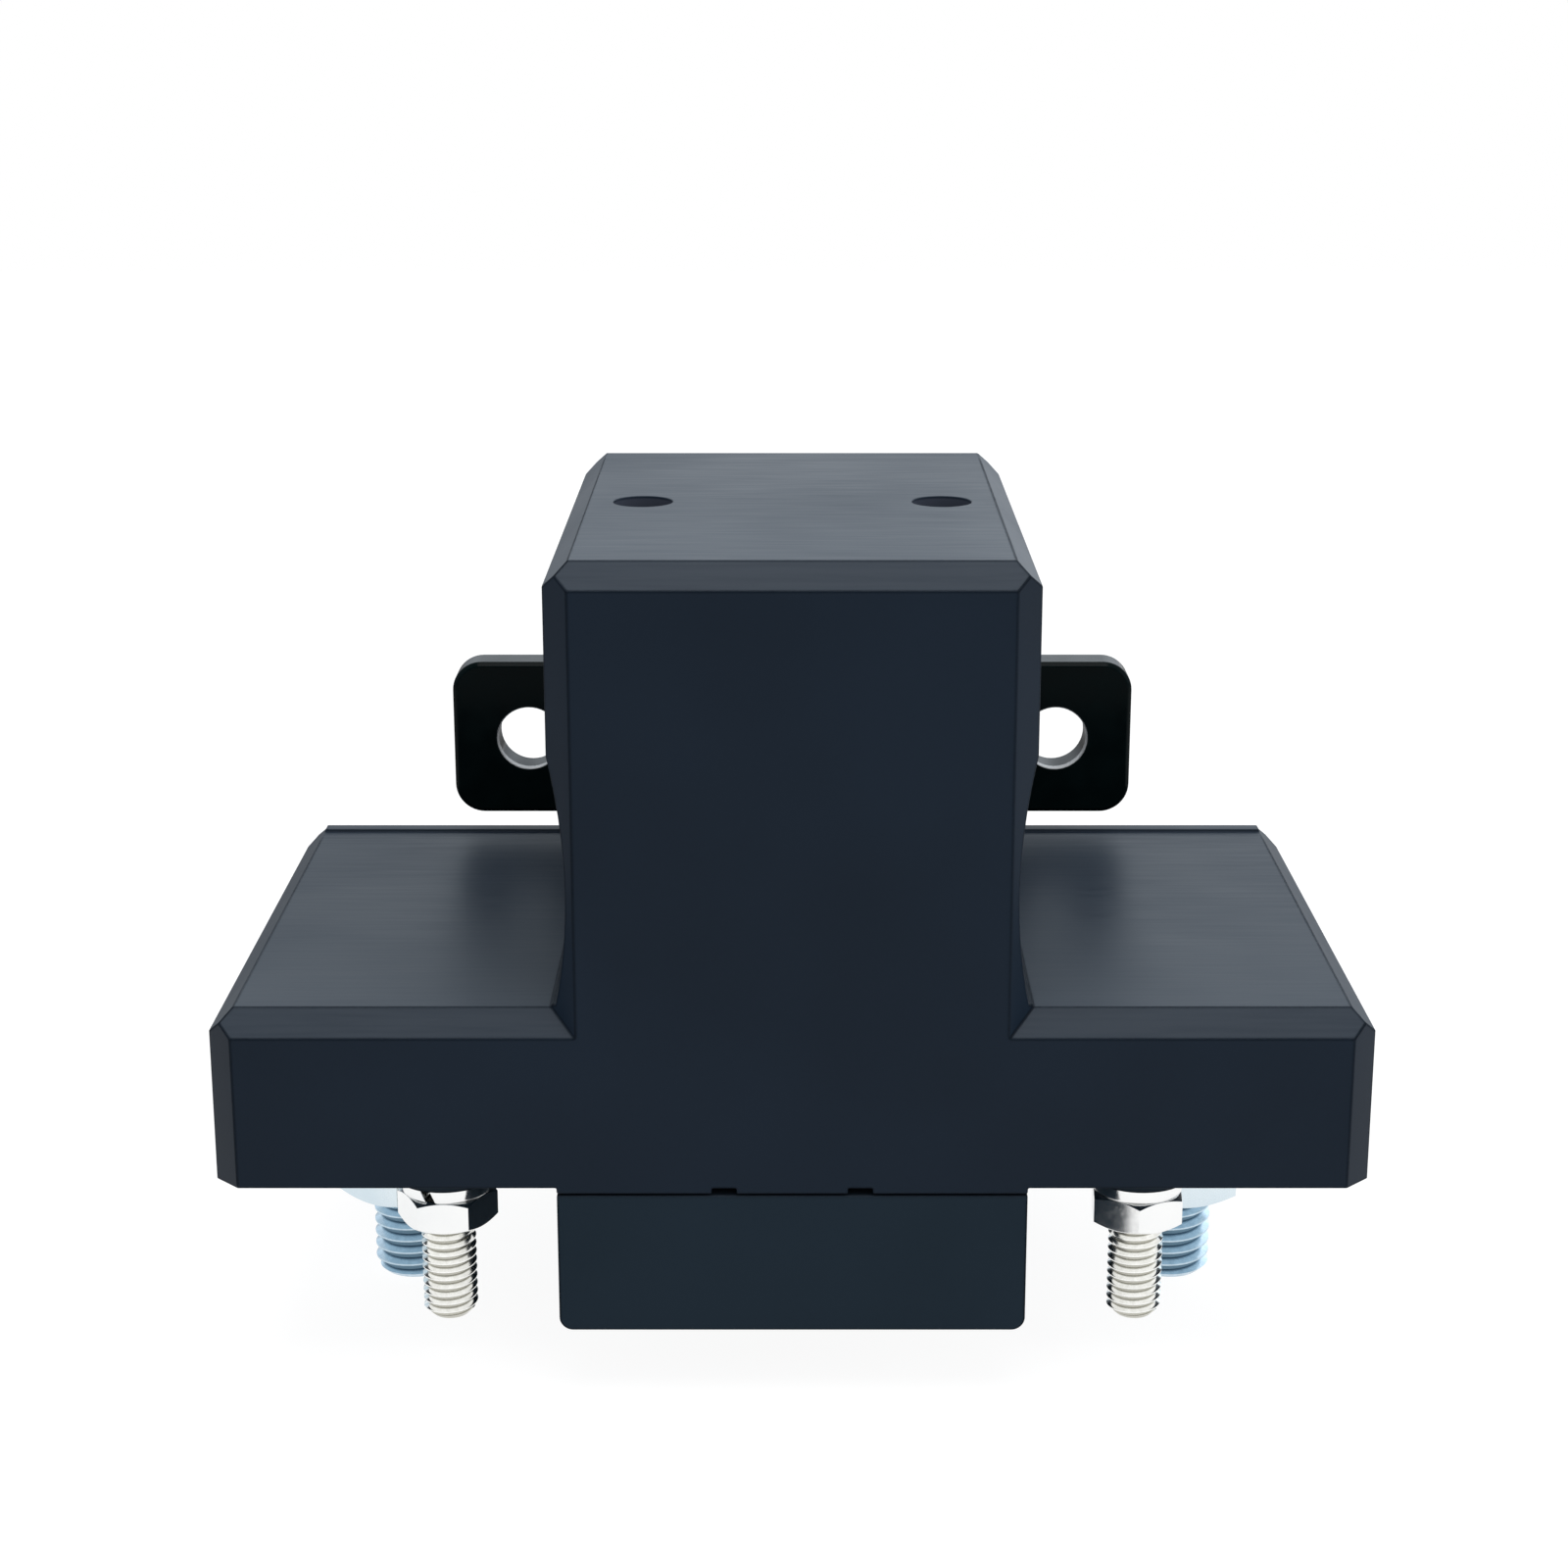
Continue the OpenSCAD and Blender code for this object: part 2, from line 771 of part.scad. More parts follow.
// Copper bar from the main stud to the contact chamber, round at the stud
module fixed_contact(side) {
    x0 = side > 0 ? bar_inner_x : -main_x;
    x1 = side > 0 ? main_x : -bar_inner_x;
    color("#b87333")
        difference() {
            union() {
                block(x0, x1, coil_y - bar_w / 2, coil_y + bar_w / 2, base_t, bar_top);
                pillar(side * main_x, coil_y, bar_w / 2, base_t, bar_top);
            }
            pillar(side * main_x, coil_y, main_r + fit, base_t - cut, bar_top + cut);
        }
}

module fixed_contact_tips() {
    color("#d8d4c8")
        for (side = [-1, 1])
            pillar(side * tip_spacing / 2, coil_y, tip_r, fixed_tip_h, base_t);
}

// Insulating plate between the coil and the contacts, with a hole for the shaft
module barrier_plate() {
    gap = 0.2;
    color("#c8b98a")
        difference() {
            block(-tower_in_x + gap, tower_in_x - gap, cavity_front + gap, tower_back - gap, barrier_h, pole_h);
            pillar(0, coil_y, shaft_r + 0.5, barrier_h - cut, pole_h + cut);
            lead_notches(barrier_h, pole_h);
        }
}

// Notches for the leads, open to the sides
module lead_notches(h0, h1) {
    half = lead_r + 0.4;
    for (side = [-1, 1])
        translate([side * (lead_x + tower_w / 2 - half), lead_y, up((h0 + h1) / 2)])
            cube([tower_w, 2 * half, h1 - h0 + 2 * cut], center = true);
}

// Steel plate that closes the magnet round the plunger
module pole_plate() {
    color("#8f959a")
        difference() {
            block(-yoke_w / 2, yoke_w / 2, coil_y - yoke_in_y - steel_t, coil_y + yoke_in_y + steel_t,
                  pole_h, pole_top);
            pillar(0, coil_y, tube_out_r + fit, pole_h - cut, pole_top + cut);
            lead_notches(pole_h, pole_top);
        }
}

// Bent steel strip over the coil: a web above and a leg in front and behind
module yoke() {
    outer = yoke_in_y + steel_t;
    color("#8f959a")
        difference() {
            block(-yoke_w / 2, yoke_w / 2, coil_y - outer, coil_y + outer, pole_top, yoke_top);
            block(-yoke_w / 2 - cut, yoke_w / 2 + cut, coil_y - yoke_in_y, coil_y + yoke_in_y,
                  pole_top - cut, web_h);
            pillar(0, coil_y, core_tenon_r + fit, web_h - cut, yoke_top + cut);
            plate_screw_bosses(fit);
        }
}

// Fixed core, riveted into the yoke's web, with a pocket for the return spring
module core() {
    color("#9aa0a5")
        translate([0, coil_y, up(0)])
            rotate_extrude()
                polygon([
                    [0, core_h + core_pocket], [pocket_r, core_h + core_pocket], [pocket_r, core_h],
                    [plunger_r, core_h], [plunger_r, web_h], [core_tenon_r, web_h],
                    [core_tenon_r, yoke_top], [core_head_r, yoke_top],
                    [core_tenon_r, yoke_top + core_head_h], [0, yoke_top + core_head_h]
                ]);
}

// Spool of the coil
module bobbin() {
    color("#e6dfc8")
        translate([0, coil_y, up(0)])
            rotate_extrude()
                polygon([
                    [spool_in_r, pole_top], [flange_r, pole_top], [flange_r, pole_top + flange_t],
                    [spool_out_r, pole_top + flange_t], [spool_out_r, web_h - flange_t],
                    [flange_r, web_h - flange_t], [flange_r, web_h], [spool_in_r, web_h]
                ]);
}

// Enamelled wire on the spool, with the turns of its outer layer
module winding() {
    bottom = pole_top + flange_t;
    pitch = (web_h - flange_t - bottom) / winding_turns;
    crown = pitch * 0.4;
    color("#a4552a")
        translate([0, coil_y, up(0)])
            rotate_extrude()
                polygon(concat(
                    [[spool_out_r, bottom]],
                    [
                        for (i = [0 : winding_turns - 1])
                            for (s = [[0, 0], [0.2, 0.8], [0.5, 1], [0.8, 0.8]])
                                [winding_r - crown + crown * s[1], bottom + pitch * (i + s[0])]
                    ],
                    [[winding_r - crown, web_h - flange_t], [spool_out_r, web_h - flange_t]]
                ));
}

module guide_tube() {
    color("#c9a24a")
        difference() {
            pillar(0, coil_y, tube_out_r, pole_h, web_h);
            pillar(0, coil_y, tube_in_r, pole_h - cut, web_h + cut);
        }
}

// Wire from the winding down past the pole plate and out to the ring under the coil stud's head
module coil_lead(side) {
    ring_x = coil_stud_x - coil_stud_r;
    barrel_h = base_t + barrel_r;
    // Height from the ring's barrel up to the barrier
    drop = barrier_h - barrel_h;
    route = [
        [lead_x - 4.2, coil_y - 11.8, pole_top + 3], [lead_x - 2, coil_y - 14.2, pole_top + 2.6],
        [lead_x - 0.5, lead_y + 0.8, pole_top + 1.4], [lead_x, lead_y, pole_top - 0.5],
        [lead_x, lead_y, barrier_h + 1], [lead_x, lead_y, barrel_h + 0.74 * drop],
        [lead_x + 0.5, lead_y, barrel_h + 0.46 * drop],
        [lead_x + 1.8, lead_y - 0.2, barrel_h + 0.21 * drop],
        [lead_x + 3.6, coil_stud_y + 0.2, barrel_h + 0.05 * drop], [lead_x + 5.4, coil_stud_y, barrel_h],
        [coil_stud_x - barrel_to - 1, coil_stud_y, barrel_h]
    ];
    color("#7a1f1c")
        mirror([side > 0 ? 0 : 1, 0, 0]) {
            wire([for (p = route) [p[0], p[1], up(p[2])]], lead_r, lead_sides, [0.3, 1, 0.2]);
            translate([coil_stud_x - barrel_from, coil_stud_y, up(barrel_h)])
                rotate([0, 90, 0])
                    cylinder(r = barrel_r, h = barrel_from - barrel_to);
            difference() {
                union() {
                    block(coil_stud_x - barrel_to - 0.5, ring_x, coil_stud_y - 1.6, coil_stud_y + 1.6,
                          base_t, base_t + lug_plate_t);
                    pillar(coil_stud_x, coil_stud_y, lug_plate_r, base_t, base_t + lug_plate_t);
                }
                pillar(coil_stud_x, coil_stud_y, coil_stud_r + fit, base_t - cut, base_t + lug_plate_t + cut);
            }
        }
}

module return_spring() {
    color("#b9bec2")
        coil_spring(coil_y, return_r, return_wire_r, return_turns,
                    plunger_top - plunger_pocket, core_h + core_pocket, 6);
}

// Soft iron plunger, with a pocket for the return spring and a hole for its shaft
module plunger() {
    edge = 0.5;
    color("#9aa0a5")
        translate([0, coil_y, up(0)])
            rotate_extrude()
                polygon([
                    [shaft_r + 0.02, pole_h], [plunger_r - edge, pole_h], [plunger_r, pole_h + edge],
                    [plunger_r, plunger_top - edge], [plunger_r - edge, plunger_top],
                    [pocket_r, plunger_top], [pocket_r, plunger_top - plunger_pocket],
                    [0, plunger_top - plunger_pocket], [0, pole_h + shaft_hold],
                    [shaft_r + 0.02, pole_h + shaft_hold]
                ]);
}

// Steel shaft from the plunger down through the bridge, with a groove for its clip
module plunger_shaft() {
    edge = 0.3;
    color("#aeb3b7")
        translate([0, coil_y, up(0)])
            rotate_extrude()
                polygon([
                    [0, pole_h + shaft_hold], [shaft_r, pole_h + shaft_hold],
                    [shaft_r, clip_top], [groove_r, clip_top],
                    [groove_r, clip_top - clip_t - 0.02], [shaft_r, clip_top - clip_t - 0.02],
                    [shaft_r, shaft_bottom + edge], [shaft_r - edge, shaft_bottom], [0, shaft_bottom]
                ]);
}

// Insulating bush that keeps the bridge off the shaft and stops it from above
module bridge_bush() {
    color("#d9d2bd")
        translate([0, coil_y, up(0)])
            rotate_extrude()
                polygon([
                    [shaft_r + 0.02, bridge_top + bush_flange_t], [bush_flange_r, bridge_top + bush_flange_t],
                    [bush_flange_r, bridge_top], [bush_r, bridge_top],
                    [bush_r, bridge_bottom - bush_below], [shaft_r + 0.02, bridge_bottom - bush_below]
                ]);
}

module spring_seat() {
    color("#aeb3b7")
        flat_washer(0, coil_y, seat_top, spring_seat_r, shaft_r + 0.02, seat_t);
}

// Open clip in the shaft's groove
module retaining_clip() {
    color("#5f6468")
        difference() {
            flat_washer(0, coil_y, clip_top, clip_r, groove_r + 0.02, clip_t);
            block(-groove_r, groove_r, coil_y - clip_r - cut, coil_y, clip_top - clip_t - cut, clip_top + cut);
        }
}

// Copper bridge that joins the two fixed contacts
module contact_bridge() {
    x = bridge_l / 2 - bridge_w / 2;
    color("#b87333")
        difference() {
            union() {
                block(-x, x, coil_y - bridge_w / 2, coil_y + bridge_w / 2, bridge_bottom, bridge_top);
                for (side = [-1, 1])
                    pillar(side * x, coil_y, bridge_w / 2, bridge_bottom, bridge_top);
            }
            pillar(0, coil_y, bush_r + running, bridge_bottom - cut, bridge_top + cut);
        }
}

module bridge_contact_tips() {
    color("#d8d4c8")
        for (side = [-1, 1])
            pillar(side * tip_spacing / 2, coil_y, tip_r, bridge_top, bridge_tip_top);
}

module contact_spring() {
    color("#b9bec2")
        coil_spring(coil_y, contact_spring_r, contact_wire_r, contact_spring_turns,
                    seat_top, bridge_bottom, 8);
}

housing();
terminal_base();
housing_seal();
mounting_plate();
plate_screws();
main_stud(-1);  // main_stud_left
main_stud(1);  // main_stud_right
main_flat_washers();
main_spring_washers();
main_nuts();
coil_stud(-1);  // coil_stud_left
coil_stud(1);  // coil_stud_right
coil_spring_washers();
coil_nuts();
fixed_contact(-1);  // fixed_contact_left
fixed_contact(1);  // fixed_contact_right
fixed_contact_tips();
barrier_plate();
pole_plate();
yoke();
core();
bobbin();
winding();
guide_tube();
coil_lead(-1);  // coil_lead_left
coil_lead(1);  // coil_lead_right
return_spring();
plunger();
plunger_shaft();
bridge_bush();
spring_seat();
retaining_clip();
contact_bridge();
bridge_contact_tips();
contact_spring();
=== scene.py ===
import math

import bpy
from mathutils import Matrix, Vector


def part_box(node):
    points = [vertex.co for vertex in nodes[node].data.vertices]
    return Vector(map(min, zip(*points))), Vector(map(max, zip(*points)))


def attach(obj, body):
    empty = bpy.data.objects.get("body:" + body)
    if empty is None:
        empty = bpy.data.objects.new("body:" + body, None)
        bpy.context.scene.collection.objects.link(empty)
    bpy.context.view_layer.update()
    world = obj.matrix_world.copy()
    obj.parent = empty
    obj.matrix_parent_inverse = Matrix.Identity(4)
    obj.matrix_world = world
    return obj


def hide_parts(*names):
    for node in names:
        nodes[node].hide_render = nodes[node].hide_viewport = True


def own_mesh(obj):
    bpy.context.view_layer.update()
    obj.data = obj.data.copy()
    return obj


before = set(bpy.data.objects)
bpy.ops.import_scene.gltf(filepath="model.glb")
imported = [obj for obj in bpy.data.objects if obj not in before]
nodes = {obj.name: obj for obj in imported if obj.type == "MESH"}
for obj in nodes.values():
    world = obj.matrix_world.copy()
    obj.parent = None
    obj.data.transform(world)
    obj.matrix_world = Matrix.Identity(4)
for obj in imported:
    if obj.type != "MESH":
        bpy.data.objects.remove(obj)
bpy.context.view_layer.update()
bpy.ops.object.select_all(action="DESELECT")


# Housing: one glass-filled thermoset moulding with a coil tower and two wings, pressed in a
# steel die and deflashed along its edges. The terminal base snaps into it from below.

def soften_edges(node, width, segments=2):
    """Rounds a CAD node's edges as a mould or a barrel polish leaves them."""
    o = nodes[node]
    weld = o.modifiers.new("weld", "WELD")
    weld.merge_threshold = 1e-6
    flats = o.modifiers.new("flats", "DECIMATE")
    flats.decimate_type = "DISSOLVE"
    flats.angle_limit = math.radians(0.2)
    edge = o.modifiers.new("edge", "BEVEL")
    edge.width = width
    edge.segments = segments
    edge.limit_method = "ANGLE"
    edge.angle_limit = math.radians(25.0)
    edge.use_clamp_overlap = True
    edge.miter_outer = "MITER_ARC"
    even = o.modifiers.new("even", "WEIGHTED_NORMAL")
    even.weight = 100
    even.keep_sharp = False


def new_group(name, inputs, outputs):
    """A shader node group with its sockets, its input and its output node."""
    group = bpy.data.node_groups.new(name, "ShaderNodeTree")
    for label, kind, value in inputs:
        socket = group.interface.new_socket(name=label, in_out="INPUT", socket_type=kind)
        socket.default_value = value
    for label, kind in outputs:
        group.interface.new_socket(name=label, in_out="OUTPUT", socket_type=kind)
    return group, group.nodes.new("NodeGroupInput"), group.nodes.new("NodeGroupOutput")


def math_node(tree, operation, a, b=0.0):
    """A Math node fed by sockets or plain numbers."""
    n = tree.nodes.new("ShaderNodeMath")
    n.operation = operation
    for socket, value in zip(n.inputs, (a, b)):
        if isinstance(value, (int, float)):
            socket.default_value = value
        else:
            tree.links.new(value, socket)
    return n.outputs[0]


def times(tree, a, b):
    return math_node(tree, "MULTIPLY", a, b)


def plus(tree, a, b):
    return math_node(tree, "ADD", a, b)


def spread(tree, value, band, to=(0.0, 1.0)):
    """Stretches a value's band to a range of its own."""
    n = tree.nodes.new("ShaderNodeMapRange")
    n.inputs["From Min"].default_value, n.inputs["From Max"].default_value = band
    n.inputs["To Min"].default_value, n.inputs["To Max"].default_value = to
    tree.links.new(value, n.inputs["Value"])
    return n.outputs["Result"]


def colour_mix(tree, mask, a, b):
    """Mixes two colours, each a socket or a plain colour, by a mask."""
    n = tree.nodes.new("ShaderNodeMix")
    n.data_type = "RGBA"
    tree.links.new(mask, n.inputs["Factor"])
    for label, value in (("A", a), ("B", b)):
        socket = [s for s in n.inputs if s.name == label and s.type == "RGBA"][0]
        if isinstance(value, tuple):
            socket.default_value = value
        else:
            tree.links.new(value, socket)
    return [s for s in n.outputs if s.type == "RGBA"][0]


def object_axes(tree):
    """A point's Object coordinates, one socket for each axis."""
    place = tree.nodes.new("ShaderNodeTexCoord")
    axes = tree.nodes.new("ShaderNodeSeparateXYZ")
    tree.links.new(place.outputs["Object"], axes.inputs[0])
    return axes.outputs["X"], axes.outputs["Y"], axes.outputs["Z"]


def off_axis(tree, x, pair_x, other):
    """How far a point lies from the axis of the left or right one of a pair."""
    across = math_node(tree, "SUBTRACT", math_node(tree, "ABSOLUTE", x), pair_x)
    squares = plus(tree, times(tree, across, across), times(tree, other, other))
    return math_node(tree, "SQRT", squares)


# Noise on Object coordinates, stretched by a scale per axis
grain, g_in, g_out = new_group(
    "stretched_grain",
    [("Scale", "NodeSocketVector", (1.0, 1.0, 1.0)), ("Detail", "NodeSocketFloat", 3.0)],
    [("Value", "NodeSocketFloat")],
)
coords = grain.nodes.new("ShaderNodeTexCoord")
stretch = grain.nodes.new("ShaderNodeVectorMath")
stretch.operation = "MULTIPLY"
noise = grain.nodes.new("ShaderNodeTexNoise")
noise.inputs["Scale"].default_value = 1.0
grain.links.new(coords.outputs["Object"], stretch.inputs[0])
grain.links.new(g_in.outputs["Scale"], stretch.inputs[1])
grain.links.new(stretch.outputs["Vector"], noise.inputs["Vector"])
grain.links.new(g_in.outputs["Detail"], noise.inputs["Detail"])
grain.links.new(noise.outputs["Fac"], g_out.inputs["Value"])


def add_grain(tree, scale, detail=3.0):
    """Grain at one scale all round, or at a scale for each axis."""
    n = tree.nodes.new("ShaderNodeGroup")
    n.node_tree = grain
    n.inputs["Scale"].default_value = scale if isinstance(scale, tuple) else (scale,) * 3
    n.inputs["Detail"].default_value = detail
    return n.outputs["Value"]


def new_material(name, roughness, metallic=0.0, specular=0.5):
    """A Principled material, its tree and its shader."""
    m = bpy.data.materials.new(name)
    m.use_nodes = True
    shader = m.node_tree.nodes["Principled BSDF"]
    shader.inputs["Roughness"].default_value = roughness
    shader.inputs["Metallic"].default_value = metallic
    shader.inputs["Specular IOR Level"].default_value = specular
    return m, m.node_tree, shader


def bump(tree, shader, height, distance, strength):
    n = tree.nodes.new("ShaderNodeBump")
    n.inputs["Distance"].default_value = distance
    n.inputs["Strength"].default_value = strength
    tree.links.new(height, n.inputs["Height"])
    tree.links.new(n.outputs["Normal"], shader.inputs["Normal"])


def give(material, *names):
    for name in names:
        nodes[name].material_slots[0].material = material


# Mask of the thin lines along a moulding's edges, where a dark line of painted shade is laid
edge_shade_width = 0.0003
edge_line, g_in, g_out = new_group("edge_line", [("Radius", "NodeSocketFloat", edge_shade_width)],
                                   [("Value", "NodeSocketFloat")])
rounded = edge_line.nodes.new("ShaderNodeBevel")
rounded.samples = 4
edge_line.links.new(g_in.outputs["Radius"], rounded.inputs["Radius"])
plain = edge_line.nodes.new("ShaderNodeNewGeometry")
turn = edge_line.nodes.new("ShaderNodeVectorMath")
turn.operation = "DOT_PRODUCT"
edge_line.links.new(rounded.outputs["Normal"], turn.inputs[0])
edge_line.links.new(plain.outputs["True Normal"], turn.inputs[1])
edge_line.links.new(spread(edge_line, turn.outputs["Value"], (0.998, 0.985)), g_out.inputs["Value"])

housing_low, housing_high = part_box("housing")
seam_z = housing_low[2]
seam_lip = (0.0004, 0.0009)
back_edges = (-0.008, -0.005)
housing_top = housing_high[2]
tops_front_y = -0.0568
top_hole_x = 0.0138
top_hole_y = housing_low[1] / 2
top_hole_r = 0.00275
top_hole_floor = housing_top - 0.006
sheen_and_dust_colour = (0.031, 0.042, 0.057, 1.0)
hole_wall_light_colour = (0.06, 0.068, 0.092, 1.0)
edge_shade_colour = (0.002, 0.004, 0.007, 1.0)


def moulded_plastic(name, dark, pale, roughness):
    """Satin black thermoset: flow streaks, dust and a painted sheen on the tops, painted shade
    along the edges, painted light in the blind holes, fine grain, slow change of hue.
    """
    m, tree, shader = new_material(name, roughness, specular=0.1)
    x, y, z = object_axes(tree)
    # How far a face looks up: the rubbed streaks lie on the tops
    facing = tree.nodes.new("ShaderNodeNewGeometry")
    looks = tree.nodes.new("ShaderNodeSeparateXYZ")
    tree.links.new(facing.outputs["True Normal"], looks.inputs[0])
    upward = spread(tree, looks.outputs["Z"], (0.5, 0.95))
    faces_up = spread(tree, looks.outputs["Z"], (0.3, 0.75))
    streaks = spread(tree, add_grain(tree, (110.0, 1900.0, 1900.0), 5.0), (0.3, 0.7))
    clouds = spread(tree, add_grain(tree, 45.0, 2.0), (0.35, 0.65))
    fine = add_grain(tree, 5200.0, 2.0)
    # Hands rub the tops paler towards the front edge
    # The upward faces are paler with dust and a painted sheen, fading from the front edge to
    # painted shade towards the back
    haze = times(tree, faces_up, spread(tree, streaks, (0.0, 1.0), to=(0.65, 1.0)))
    haze = times(tree, haze, spread(tree, y, (tops_front_y, 0.0), to=(1.2, 0.2)))
    body = colour_mix(tree, haze, colour_mix(tree, clouds, dark, pale), sheen_and_dust_colour)
    # The painted edge shade is weaker on the lips of the seam under the housing and on the edges at
    # the back
    edges = tree.nodes.new("ShaderNodeGroup")
    edges.node_tree = edge_line
    edges.inputs["Radius"].default_value = edge_shade_width
    from_seam = math_node(tree, "ABSOLUTE", plus(tree, z, -seam_z))
    edge_shade = times(tree, spread(tree, from_seam, seam_lip, to=(0.25, 0.9)),
                 spread(tree, y, back_edges, to=(1.0, 0.25)))
    edge_shade = times(tree, edges.outputs["Value"], edge_shade)
    # The walls of the two blind holes are painted paler, a painted reflection of the light from
    # above, and the dark edge lines are left off their rims
    reach = off_axis(tree, x, top_hole_x, math_node(tree, "SUBTRACT", y, top_hole_y))
    edge_shade = times(tree, edge_shade, spread(tree, reach, (top_hole_r + 0.0002, top_hole_r + 0.0004)))
    hole_wall_light = times(tree, spread(tree, reach, (top_hole_r, top_hole_r + 0.0002), to=(1.0, 0.0)),
                 spread(tree, z, (housing_top - 0.0003, housing_top - 0.0001), to=(1.0, 0.0)))
    hole_wall_light = times(tree, hole_wall_light, spread(tree, z, (top_hole_floor - 0.0005, top_hole_floor - 0.0002)))
    body = colour_mix(tree, hole_wall_light, body, hole_wall_light_colour)
    # The edge lines are painted shade: dark and a little rougher
    tree.links.new(colour_mix(tree, edge_shade, body, edge_shade_colour), shader.inputs["Base Color"])
    on_top = times(tree, streaks, upward)
    gloss = plus(tree, spread(tree, clouds, (0.0, 1.0), to=(roughness - 0.02, roughness + 0.03)),
                 times(tree, on_top, 0.08))
    tree.links.new(plus(tree, gloss, times(tree, edge_shade, 0.65)), shader.inputs["Roughness"])
    bump(tree, shader, plus(tree, times(tree, fine, 0.5), on_top), 0.000007, 0.5)
    return m


soften_edges("housing", 0.00018)
give(moulded_plastic("housing_plastic", dark=(0.0076, 0.015, 0.0265, 1.0),
                     pale=(0.0098, 0.0185, 0.032, 1.0), roughness=0.36), "housing")


# Terminal base: the moulding that closes the housing from below. Its block hangs under the
# tower, and the four studs pass through its plate. Same thermoset, a little greener.

soften_edges("terminal_base", 0.00012)
give(moulded_plastic("base_plastic", dark=(0.0095, 0.0205, 0.032, 1.0),
                     pale=(0.0125, 0.0245, 0.038, 1.0), roughness=0.4), "terminal_base")


# Seal: a ring of soft rubber in the groove round the base's edge, pressed against the housing
# when the base snaps in.

seal_rubber, tree, shader = new_material("seal_rubber", 0.7, specular=0.3)
dust = spread(tree, add_grain(tree, 900.0, 4.0), (0.3, 0.7))
tree.links.new(colour_mix(tree, dust, (0.2, 0.035, 0.012, 1.0), (0.26, 0.055, 0.022, 1.0)),
               shader.inputs["Base Color"])
bump(tree, shader, dust, 0.00001, 0.5)
give(seal_rubber, "housing_seal")


# Mounting plate: thick steel, punched and tumbled, then dipped in a gloss black coating. It
# lies in the slot across the tower's back. Bolts go through the hole in each of its ears.

mount_hole_x = 0.0272
mount_hole_r = 0.00325
rim_highlight_band = (-0.0034, -0.0031)
rim_highlight_steel = (0.5, 0.51, 0.52, 1.0)
soften_edges("mounting_plate", 0.00025, segments=3)
plate_coating, tree, shader = new_material("plate_coating", 0.16, specular=0.035)
drip = spread(tree, add_grain(tree, 420.0, 2.0), (0.3, 0.7))
coat = colour_mix(tree, drip, (0.0012, 0.004, 0.0045, 1.0), (0.002, 0.006, 0.0065, 1.0))
# The front end of each hole's wall is painted pale steel grey, partly coating rubbed thin by the
# bolts and partly a painted highlight
x, y, z = object_axes(tree)
reach = off_axis(tree, x, mount_hole_x, z)
rim_highlight = spread(tree, reach, (mount_hole_r + 0.00005, mount_hole_r + 0.00012), to=(1.0, 0.0))
rim_highlight = times(tree, rim_highlight, spread(tree, y, rim_highlight_band, to=(1.0, 0.0)))
tree.links.new(colour_mix(tree, rim_highlight, coat, rim_highlight_steel), shader.inputs["Base Color"])
tree.links.new(spread(tree, drip, (0.0, 1.0), to=(0.12, 0.2)), shader.inputs["Roughness"])
bump(tree, shader, drip, 0.00001, 0.4)
give(plate_coating, "mounting_plate")


# Plate screws: two countersunk steel screws with a dark oxide finish. They go through the plate
# into pilot holes in the tower's back.

def metal(name, base, tint, roughness, marks_scale, relief=0.000004):
    """Plated or bare metal: cloudy tint, uneven gloss and fine drawn or tumbled marks."""
    m, tree, shader = new_material(name, roughness, metallic=1.0)
    clouds = spread(tree, add_grain(tree, 160.0), (0.3, 0.7))
    marks = add_grain(tree, marks_scale)
    tree.links.new(colour_mix(tree, clouds, base, tint), shader.inputs["Base Color"])
    gloss = plus(tree, spread(tree, clouds, (0.0, 1.0), to=(-0.03, 0.04)),
                 spread(tree, marks, (0.3, 0.7), to=(roughness - 0.03, roughness + 0.05)))
    tree.links.new(gloss, shader.inputs["Roughness"])
    bump(tree, shader, marks, relief, 0.5)
    return m


soften_edges("plate_screws", 0.00008)
give(metal("screw_steel", base=(0.09, 0.095, 0.1, 1.0), tint=(0.14, 0.14, 0.145, 1.0),
           roughness=0.32, marks_scale=900.0), "plate_screws")


# Fixed contacts: copper bars from the main studs to the contact chamber, blanked from strip,
# each with a silver alloy tip brazed under its inner end.

copper = metal("copper", base=(0.62, 0.29, 0.17, 1.0), tint=(0.5, 0.21, 0.12, 1.0),
               roughness=0.3, marks_scale=(300.0, 4000.0, 4000.0))
silver_alloy = metal("silver_alloy", base=(0.72, 0.7, 0.66, 1.0), tint=(0.62, 0.6, 0.55, 1.0),
                     roughness=0.34, marks_scale=1800.0)
for name in ("fixed_contact_left", "fixed_contact_right", "fixed_contact_tips"):
    soften_edges(name, 0.0002)
give(copper, "fixed_contact_left", "fixed_contact_right")
give(silver_alloy, "fixed_contact_tips")


# Main studs: M8 studs with a square head that clamps the contact bar, thread rolled and blue
# passivated. They pass down through the base, and their nuts hold them.

def select_where(test):
    """In edit mode, leaves just the vertices selected that pass a test of their place."""
    bpy.ops.object.mode_set(mode="OBJECT")
    mesh = bpy.context.object.data
    for face in mesh.polygons:
        face.select = False
    for edge in mesh.edges:
        edge.select = False
    for v in mesh.vertices:
        v.select = test(v.co)
    bpy.ops.object.mode_set(mode="EDIT")
    bpy.ops.mesh.select_mode(type="VERT")


def finish_object():
    """Back to object mode, with the piece's place in its mesh."""
    bpy.ops.object.mode_set(mode="OBJECT")
    bpy.ops.object.transform_apply(location=True, rotation=True, scale=True)
    return bpy.context.object


def pick(piece):
    """Selects one piece alone."""
    bpy.ops.object.select_all(action="DESELECT")
    bpy.context.view_layer.objects.active = piece
    piece.select_set(True)


